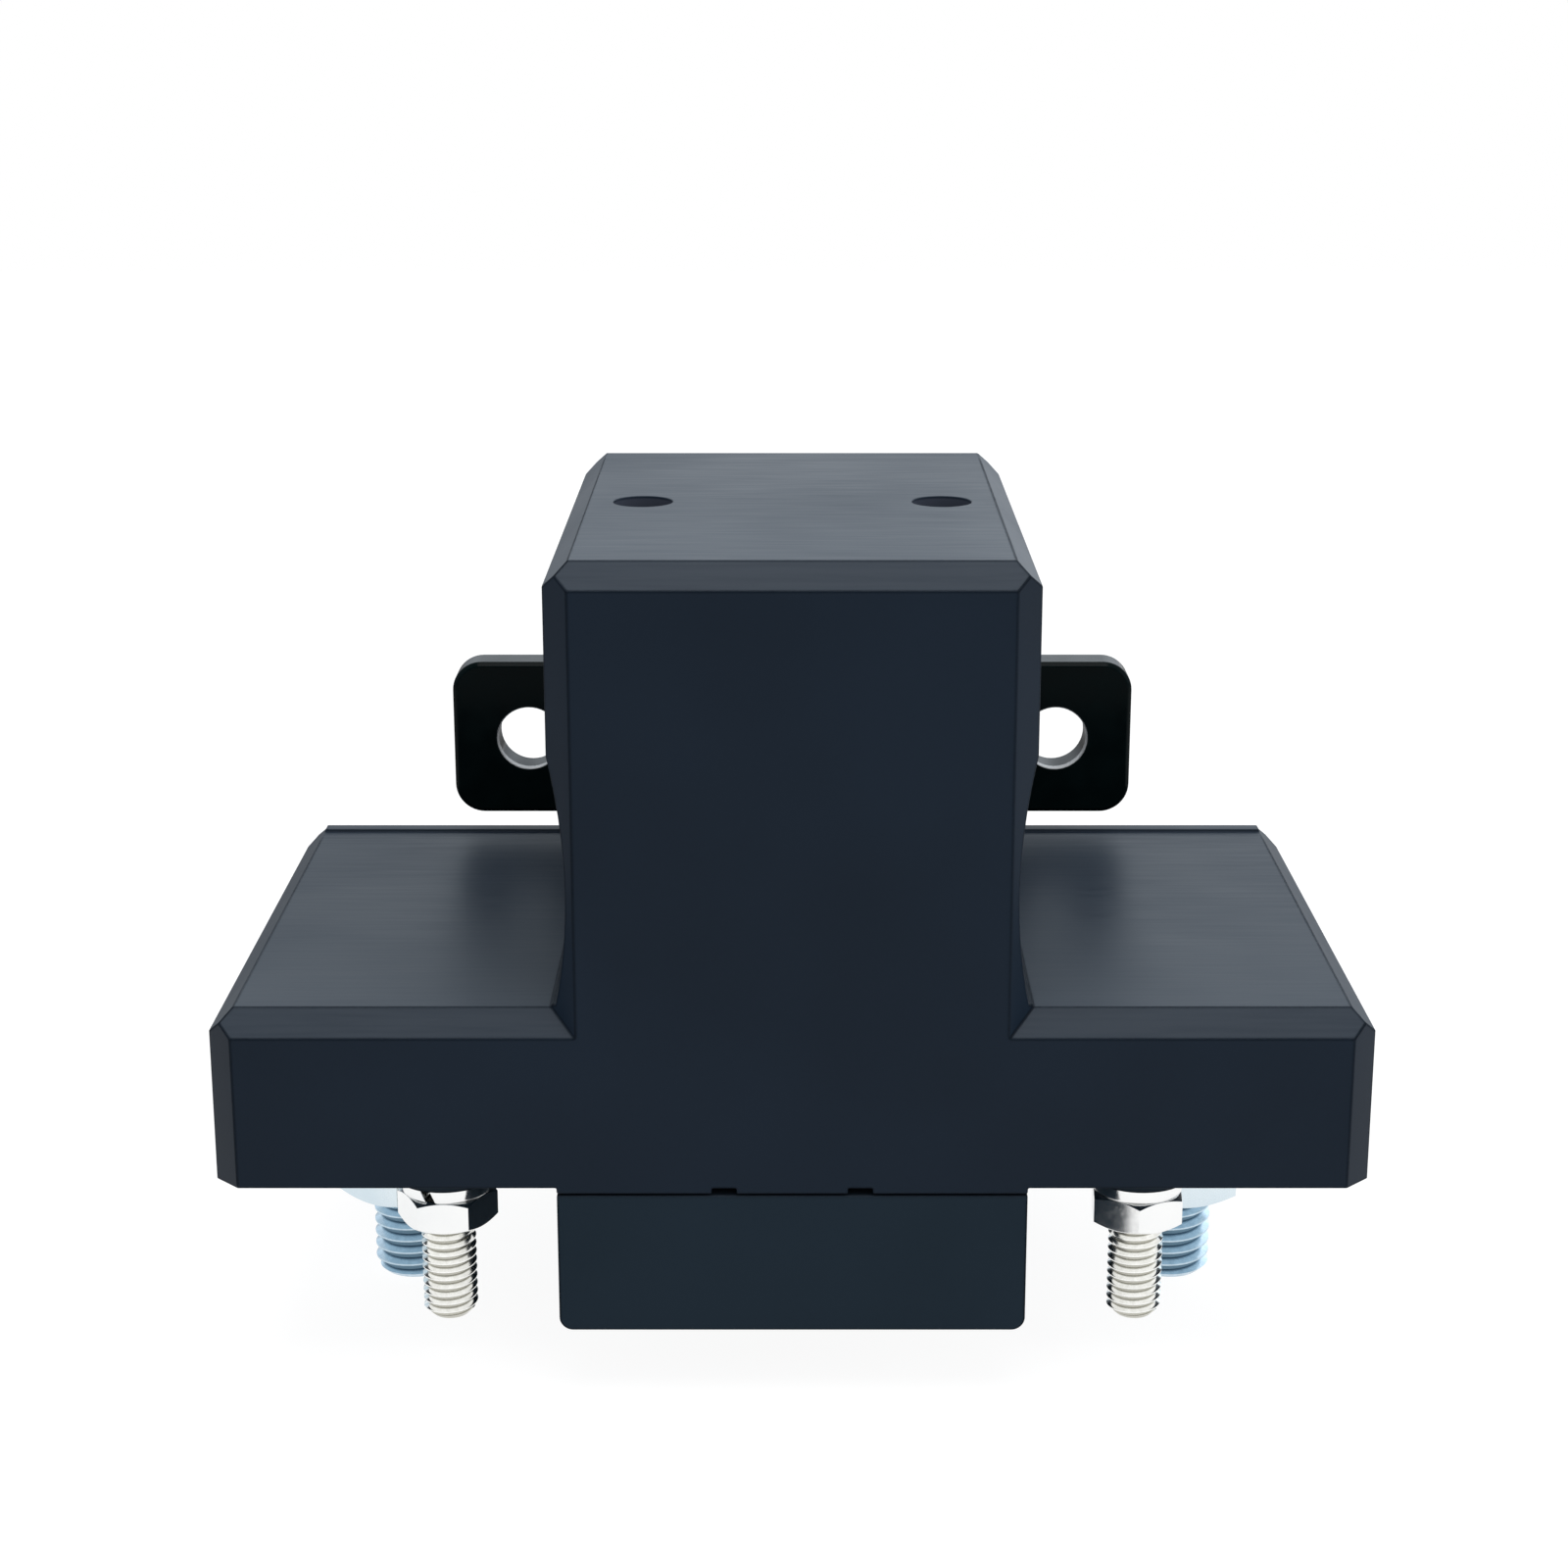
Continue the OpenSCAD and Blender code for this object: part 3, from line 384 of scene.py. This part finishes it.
def cut_with(piece, tool, operation):
    """Applies a Boolean of the tool to the piece and deletes the tool."""
    pick(piece)
    modifier = piece.modifiers.new("shape", "BOOLEAN")
    modifier.operation = operation
    modifier.solver = "EXACT"
    modifier.object = tool
    bpy.ops.object.modifier_apply(modifier="shape")
    bpy.data.objects.remove(tool)


def smooth(piece, angle=35.0):
    pick(piece)
    bpy.ops.object.shade_smooth_by_angle(angle=math.radians(angle))


def wind(outline, rise, turns, steps):
    """A Screw modifier that winds an outline about the Z axis."""
    screw = outline.modifiers.new("wind", "SCREW")
    screw.axis = "Z"
    screw.angle = 2 * math.pi
    screw.screw_offset = rise
    screw.iterations = turns
    screw.steps = steps
    screw.render_steps = steps
    return screw


def threaded_rod(x, y, low, high, radius, pitch, chamfer, steps):
    """A rod with a rolled 60 degree thread and turned ends, between two heights."""
    # One pitch of the thread's outline, on the rod's right side
    depth = 0.6134 * pitch
    root = radius - depth
    centre = (0.0, 0.0, 0.0)
    bpy.ops.object.select_all(action="DESELECT")
    bpy.ops.mesh.primitive_plane_add(size=pitch, rotation=(math.pi / 2, 0.0, 0.0),
                                     location=(root - pitch / 2, 0.0, 0.0))
    rod = finish_object()
    select_where(lambda co: co.x < root - pitch / 2)
    bpy.ops.mesh.delete(type="VERT")
    bpy.ops.mesh.select_all(action="SELECT")
    bpy.ops.mesh.subdivide(number_cuts=4)
    # The root is left a quarter of the pitch wide, and the crest an eighth
    select_where(lambda co: 0.2 * pitch < abs(co.z) < 0.4 * pitch)
    bpy.ops.transform.resize(value=(1.0, 1.0, 1.25), center_override=centre)
    select_where(lambda co: abs(co.z) < 0.2 * pitch)
    bpy.ops.transform.resize(value=(1.0, 1.0, 0.625), center_override=centre)
    bpy.ops.transform.translate(value=(depth, 0.0, 0.0))
    bpy.ops.object.mode_set(mode="OBJECT")
    # The outline wound up the rod, a turn or more past both ends
    turns = math.ceil((high - low) / pitch) + 3
    screw = wind(rod, pitch, turns, steps)
    screw.use_merge_vertices = True
    screw.merge_threshold = 1e-6
    bpy.ops.object.modifier_apply(modifier="wind")
    bpy.ops.object.mode_set(mode="EDIT")
    bpy.ops.mesh.select_all(action="SELECT")
    bpy.ops.mesh.remove_doubles(threshold=0.00001)
    # Both ragged ends closed, then lowered to a pitch and a half below the rod
    for test in (lambda co: co.z < 0.55 * pitch, lambda co: co.z > (turns - 0.55) * pitch):
        select_where(lambda co: False)
        bpy.ops.mesh.select_non_manifold()
        bpy.ops.object.mode_set(mode="OBJECT")
        for v in rod.data.vertices:
            v.select = v.select and test(v.co)
        for edge in rod.data.edges:
            edge.select = all(rod.data.vertices[i].select for i in edge.vertices) and edge.select
        bpy.ops.object.mode_set(mode="EDIT")
        bpy.ops.mesh.edge_face_add()
        bpy.ops.mesh.poke()
    bpy.ops.mesh.select_all(action="SELECT")
    bpy.ops.mesh.normals_make_consistent(inside=False)
    bpy.ops.transform.translate(value=(0.0, 0.0, low - 1.5 * pitch))
    finish_object()
    # The blank that gives the rod its length and its turned ends
    bpy.ops.object.select_all(action="DESELECT")
    bpy.ops.mesh.primitive_cylinder_add(vertices=96, radius=radius + 0.00002, depth=high - low,
                                        location=(0.0, 0.0, (low + high) / 2))
    blank = finish_object()
    for end in (low, high):
        select_where(lambda co, end=end: abs(co.z - end) < 1e-6)
        bpy.ops.mesh.bevel(offset=chamfer, segments=1, affect="EDGES")
    finish_object()
    cut_with(rod, blank, "INTERSECT")
    bpy.ops.object.mode_set(mode="EDIT")
    bpy.ops.mesh.select_all(action="SELECT")
    bpy.ops.transform.translate(value=(x, y, 0.0))
    return finish_object()


def thread_metal(name, crest, root, roughness, x, y, radius, pitch, low, head):
    """Plated thread: bright crests, ends and head, and roots darkened by grime and by painted
    shade.
    """
    # The thread runs from low, the stud's end, to the underside of its head
    m, tree, shader = new_material(name, roughness, metallic=1.0)
    place_x, place_y, place_z = object_axes(tree)
    reach = off_axis(tree, place_x, x, math_node(tree, "SUBTRACT", place_y, y))
    crests = spread(tree, reach, (radius - 0.58 * pitch, radius - 0.42 * pitch))
    for turned in (spread(tree, place_z, (low, low + 0.0001), to=(1.0, 0.0)),
                   spread(tree, place_z, (head, head + 0.0001))):
        crests = math_node(tree, "MAXIMUM", crests, turned)
    marks = spread(tree, add_grain(tree, 1800.0), (0.3, 0.7), to=(0.75, 1.0))
    # The roots take the darker colour, grime and painted shade in the thread's hollows
    tree.links.new(colour_mix(tree, times(tree, crests, marks), root, crest),
                   shader.inputs["Base Color"])
    tree.links.new(spread(tree, crests, (0.0, 1.0), to=(roughness + 0.2, roughness)),
                   shader.inputs["Roughness"])
    bump(tree, shader, marks, 0.000004, 0.5)
    return m


def fit_piece(piece, name, material, body, node):
    """Names a finished piece, gives it its finish, hangs it on its body and hides the node it
    stands for.
    """
    piece.name = name
    piece.data.materials.append(material)
    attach(piece, body)
    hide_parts(node)


main_low, main_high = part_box("main_stud_left")
main_x = 0.037
main_y = (main_low[1] + main_high[1]) / 2
main_r = 0.004
main_pitch = 0.00125
main_head = 0.0046
main_head_width = 0.0125
main_zinc = metal("main_zinc", base=(0.62, 0.72, 0.78, 1.0), tint=(0.72, 0.8, 0.84, 1.0),
                  roughness=0.24, marks_scale=1500.0)
main_thread = thread_metal("main_thread", crest=(0.57, 0.71, 0.81, 1.0),
                           root=(0.16, 0.26, 0.34, 1.0), roughness=0.24, x=main_x, y=main_y,
                           radius=main_r, pitch=main_pitch, low=main_low[2],
                           head=main_high[2] - main_head)
for side, name in ((-1, "main_stud_left"), (1, "main_stud_right")):
    head_middle = main_high[2] - main_head / 2
    stud = threaded_rod(side * main_x, main_y, main_low[2], head_middle, main_r, main_pitch,
                        chamfer=0.0007, steps=48)
    bpy.ops.object.select_all(action="DESELECT")
    bpy.ops.mesh.primitive_cube_add(size=main_head_width,
                                    location=(side * main_x, main_y, head_middle))
    head = bpy.context.object
    head.scale = (1.0, 1.0, main_head / main_head_width)
    finish_object()
    select_where(lambda co: True)
    bpy.ops.mesh.bevel(offset=0.0005, segments=2, affect="EDGES")
    finish_object()
    cut_with(stud, head, "UNION")
    smooth(stud)
    fit_piece(stud, "threaded_" + name, main_thread, "relay_body", name)


# Main washers and nuts: pressed flat washers, split spring washers and M8 nuts with turned
# corners, all blue passivated zinc. The nuts hold the studs in the base.

for name in ("main_flat_washers", "main_spring_washers", "main_nuts"):
    soften_edges(name, 0.00012)
    give(main_zinc, name)


# Coil studs: M5 studs with a round head that clamps the ring of a coil lead, bright zinc.
# They stand in round bosses at the front of the base.

coil_low, coil_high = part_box("coil_stud_left")
coil_x = 0.0316
coil_y = (coil_low[1] + coil_high[1]) / 2
coil_r = 0.0025
coil_pitch = 0.0008
coil_head = 0.003
coil_head_r = 0.0041
coil_zinc = metal("coil_zinc", base=(0.9, 0.9, 0.89, 1.0), tint=(0.85, 0.86, 0.86, 1.0),
                  roughness=0.15, marks_scale=1800.0)
coil_thread = thread_metal("coil_thread", crest=(0.98, 0.98, 0.96, 1.0),
                           root=(0.54, 0.53, 0.47, 1.0), roughness=0.14, x=coil_x, y=coil_y,
                           radius=coil_r, pitch=coil_pitch, low=coil_low[2],
                           head=coil_high[2] - coil_head)
for side, name in ((-1, "coil_stud_left"), (1, "coil_stud_right")):
    head_middle = coil_high[2] - coil_head / 2
    stud = threaded_rod(side * coil_x, coil_y, coil_low[2], head_middle, coil_r, coil_pitch,
                        chamfer=0.0009, steps=40)
    bpy.ops.object.select_all(action="DESELECT")
    bpy.ops.mesh.primitive_cylinder_add(vertices=64, radius=coil_head_r, depth=coil_head,
                                        location=(side * coil_x, coil_y, head_middle))
    head = finish_object()
    select_where(lambda co: co.z > coil_high[2] - 1e-5)
    bpy.ops.mesh.bevel(offset=0.0005, segments=3, affect="EDGES")
    finish_object()
    cut_with(stud, head, "UNION")
    smooth(stud)
    fit_piece(stud, "threaded_" + name, coil_thread, "relay_body", name)


# Coil washers and nuts: split spring washers and thin M5 nuts, bright zinc. The nuts hold the
# studs in the base's bosses.

for name in ("coil_spring_washers", "coil_nuts"):
    soften_edges(name, 0.0001)
    give(coil_zinc, name)


# Yoke, pole plate and core: the fixed magnet, soft iron strip bent over the coil, a plate that
# closes it round the plunger, and a turned core riveted into the yoke's web.

magnet_steel = metal("magnet_steel", base=(0.42, 0.43, 0.44, 1.0), tint=(0.33, 0.34, 0.36, 1.0),
                     roughness=0.38, marks_scale=(700.0, 700.0, 6000.0), relief=0.000006)
for name in ("yoke", "pole_plate", "core"):
    soften_edges(name, 0.0002)
    give(magnet_steel, name)


# Barrier plate: insulating laminate between the coil and the contacts, punched from sheet and
# clamped between the base's posts and the pole plate.

soften_edges("barrier_plate", 0.00012)
laminate, tree, shader = new_material("laminate", 0.6, specular=0.35)
across = spread(tree, add_grain(tree, (260.0, 5200.0, 5200.0)), (0.3, 0.7))
along = spread(tree, add_grain(tree, (5200.0, 260.0, 5200.0)), (0.3, 0.7))
weave = times(tree, across, along)
tree.links.new(colour_mix(tree, weave, (0.5, 0.4, 0.2, 1.0), (0.36, 0.26, 0.11, 1.0)),
               shader.inputs["Base Color"])
bump(tree, shader, weave, 0.00001, 0.5)
give(laminate, "barrier_plate")


# Coil: a nylon spool with enamelled copper wire wound on it, over a drawn brass tube that
# guides the plunger.

soften_edges("bobbin", 0.00015)
bobbin_nylon, tree, shader = new_material("bobbin_nylon", 0.45, specular=0.4)
haze = spread(tree, add_grain(tree, 240.0), (0.3, 0.7))
tree.links.new(colour_mix(tree, haze, (0.68, 0.63, 0.5, 1.0), (0.75, 0.71, 0.6, 1.0)),
               shader.inputs["Base Color"])
tree.links.new(spread(tree, haze, (0.0, 1.0), to=(0.4, 0.52)), shader.inputs["Roughness"])
bump(tree, shader, haze, 0.00001, 0.4)
give(bobbin_nylon, "bobbin")
give(metal("enamelled_wire", base=(0.42, 0.13, 0.045, 1.0), tint=(0.55, 0.2, 0.08, 1.0),
           roughness=0.28, marks_scale=(120.0, 120.0, 9000.0), relief=0.00001), "winding")
give(metal("tube_brass", base=(0.62, 0.44, 0.16, 1.0), tint=(0.52, 0.35, 0.12, 1.0),
           roughness=0.26, marks_scale=(5200.0, 5200.0, 300.0)), "guide_tube")


# Coil leads: insulated wire from the winding down past the pole plate, each ending in a tinned
# ring terminal that the head of a coil stud clamps to the base.

lead_insulation, tree, shader = new_material("lead_insulation", 0.42, specular=0.4)
rubbed = spread(tree, add_grain(tree, 700.0), (0.3, 0.7))
tree.links.new(colour_mix(tree, rubbed, (0.19, 0.012, 0.01, 1.0), (0.25, 0.022, 0.016, 1.0)),
               shader.inputs["Base Color"])
bump(tree, shader, rubbed, 0.000008, 0.4)
lead_width = 0.0014
# The right lead's route in millimetres, from the winding to the ring's barrel
lead_route = (
    (12.30, -43.10, -2.40), (14.50, -45.50, -2.80), (16.00, -47.50, -4.00),
    (16.50, -48.30, -5.90), (16.50, -48.30, -10.40), (16.50, -48.30, -13.97),
    (17.00, -48.30, -16.75), (18.30, -48.50, -19.22), (20.10, -48.80, -20.80),
    (21.90, -49.00, -21.30), (24.60, -49.00, -21.30))
ring_x = 0.0316
ring_y = -0.049
ring_low, ring_high = -0.0224, -0.0216
ring_thick = ring_high - ring_low
ring_middle = (ring_low + ring_high) / 2
tongue_x = (0.0251, 0.0291)
tongue_width = 0.0032
barrel_x = 0.0241
barrel_z = -0.0213
for side, name in ((-1, "coil_lead_left"), (1, "coil_lead_right")):
    bpy.ops.object.select_all(action="DESELECT")
    bpy.ops.curve.primitive_nurbs_path_add(radius=0.01)
    wire = bpy.context.object
    spline = wire.data.splines[0]
    spline.points.add(len(lead_route) - len(spline.points))
    for point, place in zip(spline.points, lead_route):
        point.co = (side * place[0] / 1000, place[1] / 1000, place[2] / 1000, 1.0)
    spline.use_endpoint_u = True
    spline.order_u = 3
    wire.data.bevel_depth = lead_width / 2
    wire.data.bevel_resolution = 4
    wire.data.resolution_u = 8
    wire.data.use_fill_caps = True
    bpy.ops.object.convert(target="MESH")
    finish_object()
    smooth(wire, 50.0)
    fit_piece(wire, "insulated_" + name, lead_insulation, "relay_body", name)

    # Ring terminal: a stamped ring whose tongue is rolled into a barrel round the wire
    bpy.ops.object.select_all(action="DESELECT")
    bpy.ops.mesh.primitive_cylinder_add(vertices=48, radius=0.0042, depth=ring_thick,
                                        location=(side * ring_x, ring_y, ring_middle))
    ring = finish_object()
    bpy.ops.object.select_all(action="DESELECT")
    bpy.ops.mesh.primitive_cube_add(size=tongue_width,
                                    location=(side * sum(tongue_x) / 2, ring_y, ring_middle))
    tongue = bpy.context.object
    tongue.scale = ((tongue_x[1] - tongue_x[0]) / tongue_width, 1.0, ring_thick / tongue_width)
    finish_object()
    cut_with(ring, tongue, "UNION")
    bpy.ops.object.select_all(action="DESELECT")
    bpy.ops.mesh.primitive_cylinder_add(vertices=24, radius=0.0011, depth=0.003,
                                        rotation=(0.0, math.pi / 2, 0.0),
                                        location=(side * barrel_x, ring_y, barrel_z))
    cut_with(ring, finish_object(), "UNION")
    bpy.ops.object.select_all(action="DESELECT")
    bpy.ops.mesh.primitive_cylinder_add(vertices=48, radius=0.00255, depth=0.002,
                                        location=(side * ring_x, ring_y, ring_low))
    cut_with(ring, finish_object(), "DIFFERENCE")
    bevel = ring.modifiers.new("edge", "BEVEL")
    bevel.width = 0.00012
    bevel.segments = 2
    bevel.limit_method = "ANGLE"
    bpy.ops.object.modifier_apply(modifier="edge")
    smooth(ring)
    fit_piece(ring, "ring_terminal_" + ("left" if side < 0 else "right"), coil_zinc,
              "relay_body", name)


# Plunger: a soft iron piston in the guide tube, with the steel shaft that carries the bridge.
# A bush, a seat and a clip on the shaft hold the bridge and its spring.

spring_steel = metal("spring_steel", base=(0.5, 0.51, 0.52, 1.0), tint=(0.42, 0.43, 0.44, 1.0),
                     roughness=0.26, marks_scale=(4200.0, 4200.0, 500.0))
for name in ("plunger", "plunger_shaft", "spring_seat", "retaining_clip"):
    soften_edges(name, 0.0001)
soften_edges("bridge_bush", 0.00015)
give(magnet_steel, "plunger")
give(spring_steel, "plunger_shaft", "spring_seat", "retaining_clip")
give(bobbin_nylon, "bridge_bush")


# Return spring: drawn steel wire wound with closed ends, between the core's pocket and the
# plunger's. It shortens by the plunger's travel.

def wound_spring(y, low, high, radius, wire_r, turns, closed_turns, steps):
    """A compression spring of round wire, its end turns closed where closed_turns is above 0."""
    # A closed turn lies just clear of the next, and the open turns share the rest
    dead = 2.15 * wire_r
    rise = (high - low - 2 * wire_r - 2 * closed_turns * dead) / turns
    z = low + wire_r
    made = []
    for offset, count in ((dead, closed_turns), (rise, turns), (dead, closed_turns)):
        if not count:
            continue
        bpy.ops.object.select_all(action="DESELECT")
        bpy.ops.mesh.primitive_circle_add(vertices=12, radius=wire_r, location=(radius, 0.0, z),
                                          rotation=(math.pi / 2, 0.0, 0.0))
        coil = finish_object()
        wind(coil, offset, count, steps)
        bpy.ops.object.modifier_apply(modifier="wind")
        made.append(coil)
        z += offset * count
    pick(made[0])
    for coil in made:
        coil.select_set(True)
    if len(made) > 1:
        bpy.ops.object.join()
    spring = bpy.context.object
    bpy.ops.object.mode_set(mode="EDIT")
    bpy.ops.mesh.select_all(action="SELECT")
    bpy.ops.mesh.remove_doubles(threshold=0.000005)
    # Each end of the wire closed
    for end in (low + wire_r, high - wire_r):
        select_where(lambda co, end=end: abs(co.y) < 1e-6 and co.x > 0.0
                     and abs(co.z - end) < 1.02 * wire_r)
        bpy.ops.mesh.edge_face_add()
    bpy.ops.mesh.select_all(action="SELECT")
    bpy.ops.mesh.normals_make_consistent(inside=False)
    bpy.ops.transform.translate(value=(0.0, y, 0.0))
    finish_object()
    smooth(spring, 50.0)
    return spring


spring_wire = metal("spring_wire", base=(0.46, 0.47, 0.48, 1.0), tint=(0.36, 0.37, 0.38, 1.0),
                    roughness=0.28, marks_scale=2600.0)
return_low, return_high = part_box("return_spring")
return_spring = wound_spring(main_y, return_low[2], return_high[2], radius=0.0029,
                             wire_r=0.00035, turns=6, closed_turns=1, steps=36)
fit_piece(return_spring, "wound_return_spring", spring_wire, "relay_body", "return_spring")
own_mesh(return_spring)


# Contact bridge: a copper bar with silver alloy tips that joins the two fixed contacts, free
# to give way on its bush.

soften_edges("contact_bridge", 0.0002)
soften_edges("bridge_contact_tips", 0.0002)
give(copper, "contact_bridge")
give(silver_alloy, "bridge_contact_tips")


# Contact spring: three turns of heavier wire between the seat on the shaft and the bridge. It
# presses the tips together once they meet.

contact_low, contact_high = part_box("contact_spring")
contact_spring = wound_spring(main_y, contact_low[2], contact_high[2], radius=0.0043,
                              wire_r=0.00045, turns=3, closed_turns=0, steps=40)
fit_piece(contact_spring, "wound_contact_spring", spring_wire, "armature", "contact_spring")
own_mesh(contact_spring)


# Studio: a pale floor just under the studs and soft light all round, with lamps above and to
# both sides. The camera sees floor and room as one plain white.

def plain_shader(tree, kind, colour):
    """A shader node of one plain colour."""
    n = tree.nodes.new(kind)
    n.inputs["Color"].default_value = colour
    return n


def mix_shaders(tree, mask, a, b):
    """Shows shader a where the mask is 0 and shader b where it is 1."""
    n = tree.nodes.new("ShaderNodeMixShader")
    tree.links.new(mask, n.inputs[0])
    tree.links.new(a.outputs[0], n.inputs[1])
    tree.links.new(b.outputs[0], n.inputs[2])
    return n


white = (1.0, 1.0, 1.0, 1.0)
paper_grey = (0.6, 0.6, 0.6, 1.0)
shadow_grey = (0.15, 0.15, 0.15, 1.0)
floor_z = -0.0466
floor_glow = 0.93
bpy.ops.object.select_all(action="DESELECT")
bpy.ops.mesh.primitive_plane_add(size=1.8, location=(0.0, 0.0, floor_z))
floor = bpy.context.object
floor.name = "floor"
floor_paper = bpy.data.materials.new("floor_paper")
floor_paper.use_nodes = True
tree = floor_paper.node_tree
tree.nodes.clear()
path = tree.nodes.new("ShaderNodeLightPath")
paper = plain_shader(tree, "ShaderNodeBsdfDiffuse", paper_grey)
faint = plain_shader(tree, "ShaderNodeBsdfDiffuse", shadow_grey)
# What gloss sees of the paper falls off behind the relay and to its left, and comes back far
# behind it on the right
x, y, z = object_axes(tree)
mirrored = times(tree, spread(tree, y, (0.02, 0.12), to=(0.93, 0.15)),
                 spread(tree, x, (-0.28, -0.12), to=(0.55, 1.0)))
far_right = times(tree, spread(tree, y, (0.35, 0.7), to=(0.0, 1.3)),
                  spread(tree, x, (0.0, 0.3), to=(0.1, 1.0)))
glow = plain_shader(tree, "ShaderNodeEmission", white)
strength = tree.nodes.new("ShaderNodeMix")
tree.links.new(path.outputs["Is Camera Ray"], strength.inputs[0])
tree.links.new(plus(tree, mirrored, far_right), strength.inputs[2])
strength.inputs[3].default_value = floor_glow
tree.links.new(strength.outputs[0], glow.inputs["Strength"])
seen = tree.nodes.new("ShaderNodeAddShader")
tree.links.new(faint.outputs[0], seen.inputs[0])
tree.links.new(glow.outputs[0], seen.inputs[1])
direct = math_node(tree, "MAXIMUM", path.outputs["Is Camera Ray"], path.outputs["Is Glossy Ray"])
direct = math_node(tree, "MAXIMUM", direct, path.outputs["Is Transmission Ray"])
above = mix_shaders(tree, direct, paper, seen)
# From below, the camera sees the relay's underside through the paper
side_seen = tree.nodes.new("ShaderNodeNewGeometry")
clear = tree.nodes.new("ShaderNodeBsdfTransparent")
from_below = times(tree, path.outputs["Is Camera Ray"], side_seen.outputs["Backfacing"])
out = tree.nodes.new("ShaderNodeOutputMaterial")
tree.links.new(mix_shaders(tree, from_below, above, clear).outputs[0], out.inputs["Surface"])
floor.data.materials.append(floor_paper)

world = bpy.data.worlds.new("studio")
bpy.context.scene.world = world
world.use_nodes = True
tree = world.node_tree
tree.nodes.clear()
path = tree.nodes.new("ShaderNodeLightPath")
where = tree.nodes.new("ShaderNodeTexCoord")
axes = tree.nodes.new("ShaderNodeSeparateXYZ")
tree.links.new(where.outputs["Generated"], axes.inputs[0])
sky = tree.nodes.new("ShaderNodeValToRGB")
horizon, zenith = sky.color_ramp.elements
horizon.position = 0.0
horizon.color = (0.34, 0.365, 0.4, 1.0)
zenith.position = 1.0
zenith.color = (0.6, 0.6, 0.6, 1.0)
for stop, colour in ((0.21, (0.81, 0.88, 0.94, 1.0)), (0.36, (0.57, 0.625, 0.68, 1.0))):
    sky.color_ramp.elements.new(stop).color = colour
tree.links.new(axes.outputs["Z"], sky.inputs["Fac"])
behind = spread(tree, axes.outputs["Y"], (-0.5, 0.2), to=(0.6, 1.75))
right = spread(tree, axes.outputs["X"], (-0.4, 0.4), to=(0.75, 1.32))
room = tree.nodes.new("ShaderNodeBackground")
tree.links.new(sky.outputs["Color"], room.inputs["Color"])
tree.links.new(times(tree, behind, right), room.inputs["Strength"])
backdrop = plain_shader(tree, "ShaderNodeBackground", white)
out = tree.nodes.new("ShaderNodeOutputWorld")
tree.links.new(mix_shaders(tree, path.outputs["Is Camera Ray"], room, backdrop).outputs[0],
               out.inputs["Surface"])

lit_point = Vector((0.0, -0.03, 0.0))
for name, place, size, power in (
        ("overhead", (0.02, -0.24, 0.68), 0.45, 2.6),
        ("left", (-0.8, -0.5, 0.5), 0.4, 0.2),
        ("right", (0.9, -0.4, 0.45), 0.4, 0.7)):
    lamp_data = bpy.data.lights.new(name, "AREA")
    lamp_data.shape = "SQUARE"
    lamp_data.size = size
    lamp_data.energy = power
    lamp = bpy.data.objects.new(name, lamp_data)
    bpy.context.scene.collection.objects.link(lamp)
    lamp.location = place
    lamp.rotation_euler = (lit_point - Vector(place)).to_track_quat("-Z", "Y").to_euler()


# Camera: a long lens straight in front of the relay, looking 16 degrees down at it from a
# little above the tower.

camera_data = bpy.data.cameras.new("camera")
camera_data.sensor_width = 36.0
camera_data.lens = 67.5
camera_data.shift_x = -0.00525
camera_data.clip_start = 0.01
camera = bpy.data.objects.new("camera", camera_data)
bpy.context.scene.collection.objects.link(camera)
camera.location = (0.0, -0.2981, 0.0784)
camera.rotation_euler = (math.radians(90.0 - 15.83), 0.0, 0.0)
bpy.context.scene.camera = camera
bpy.context.scene.view_settings.view_transform = "Standard"
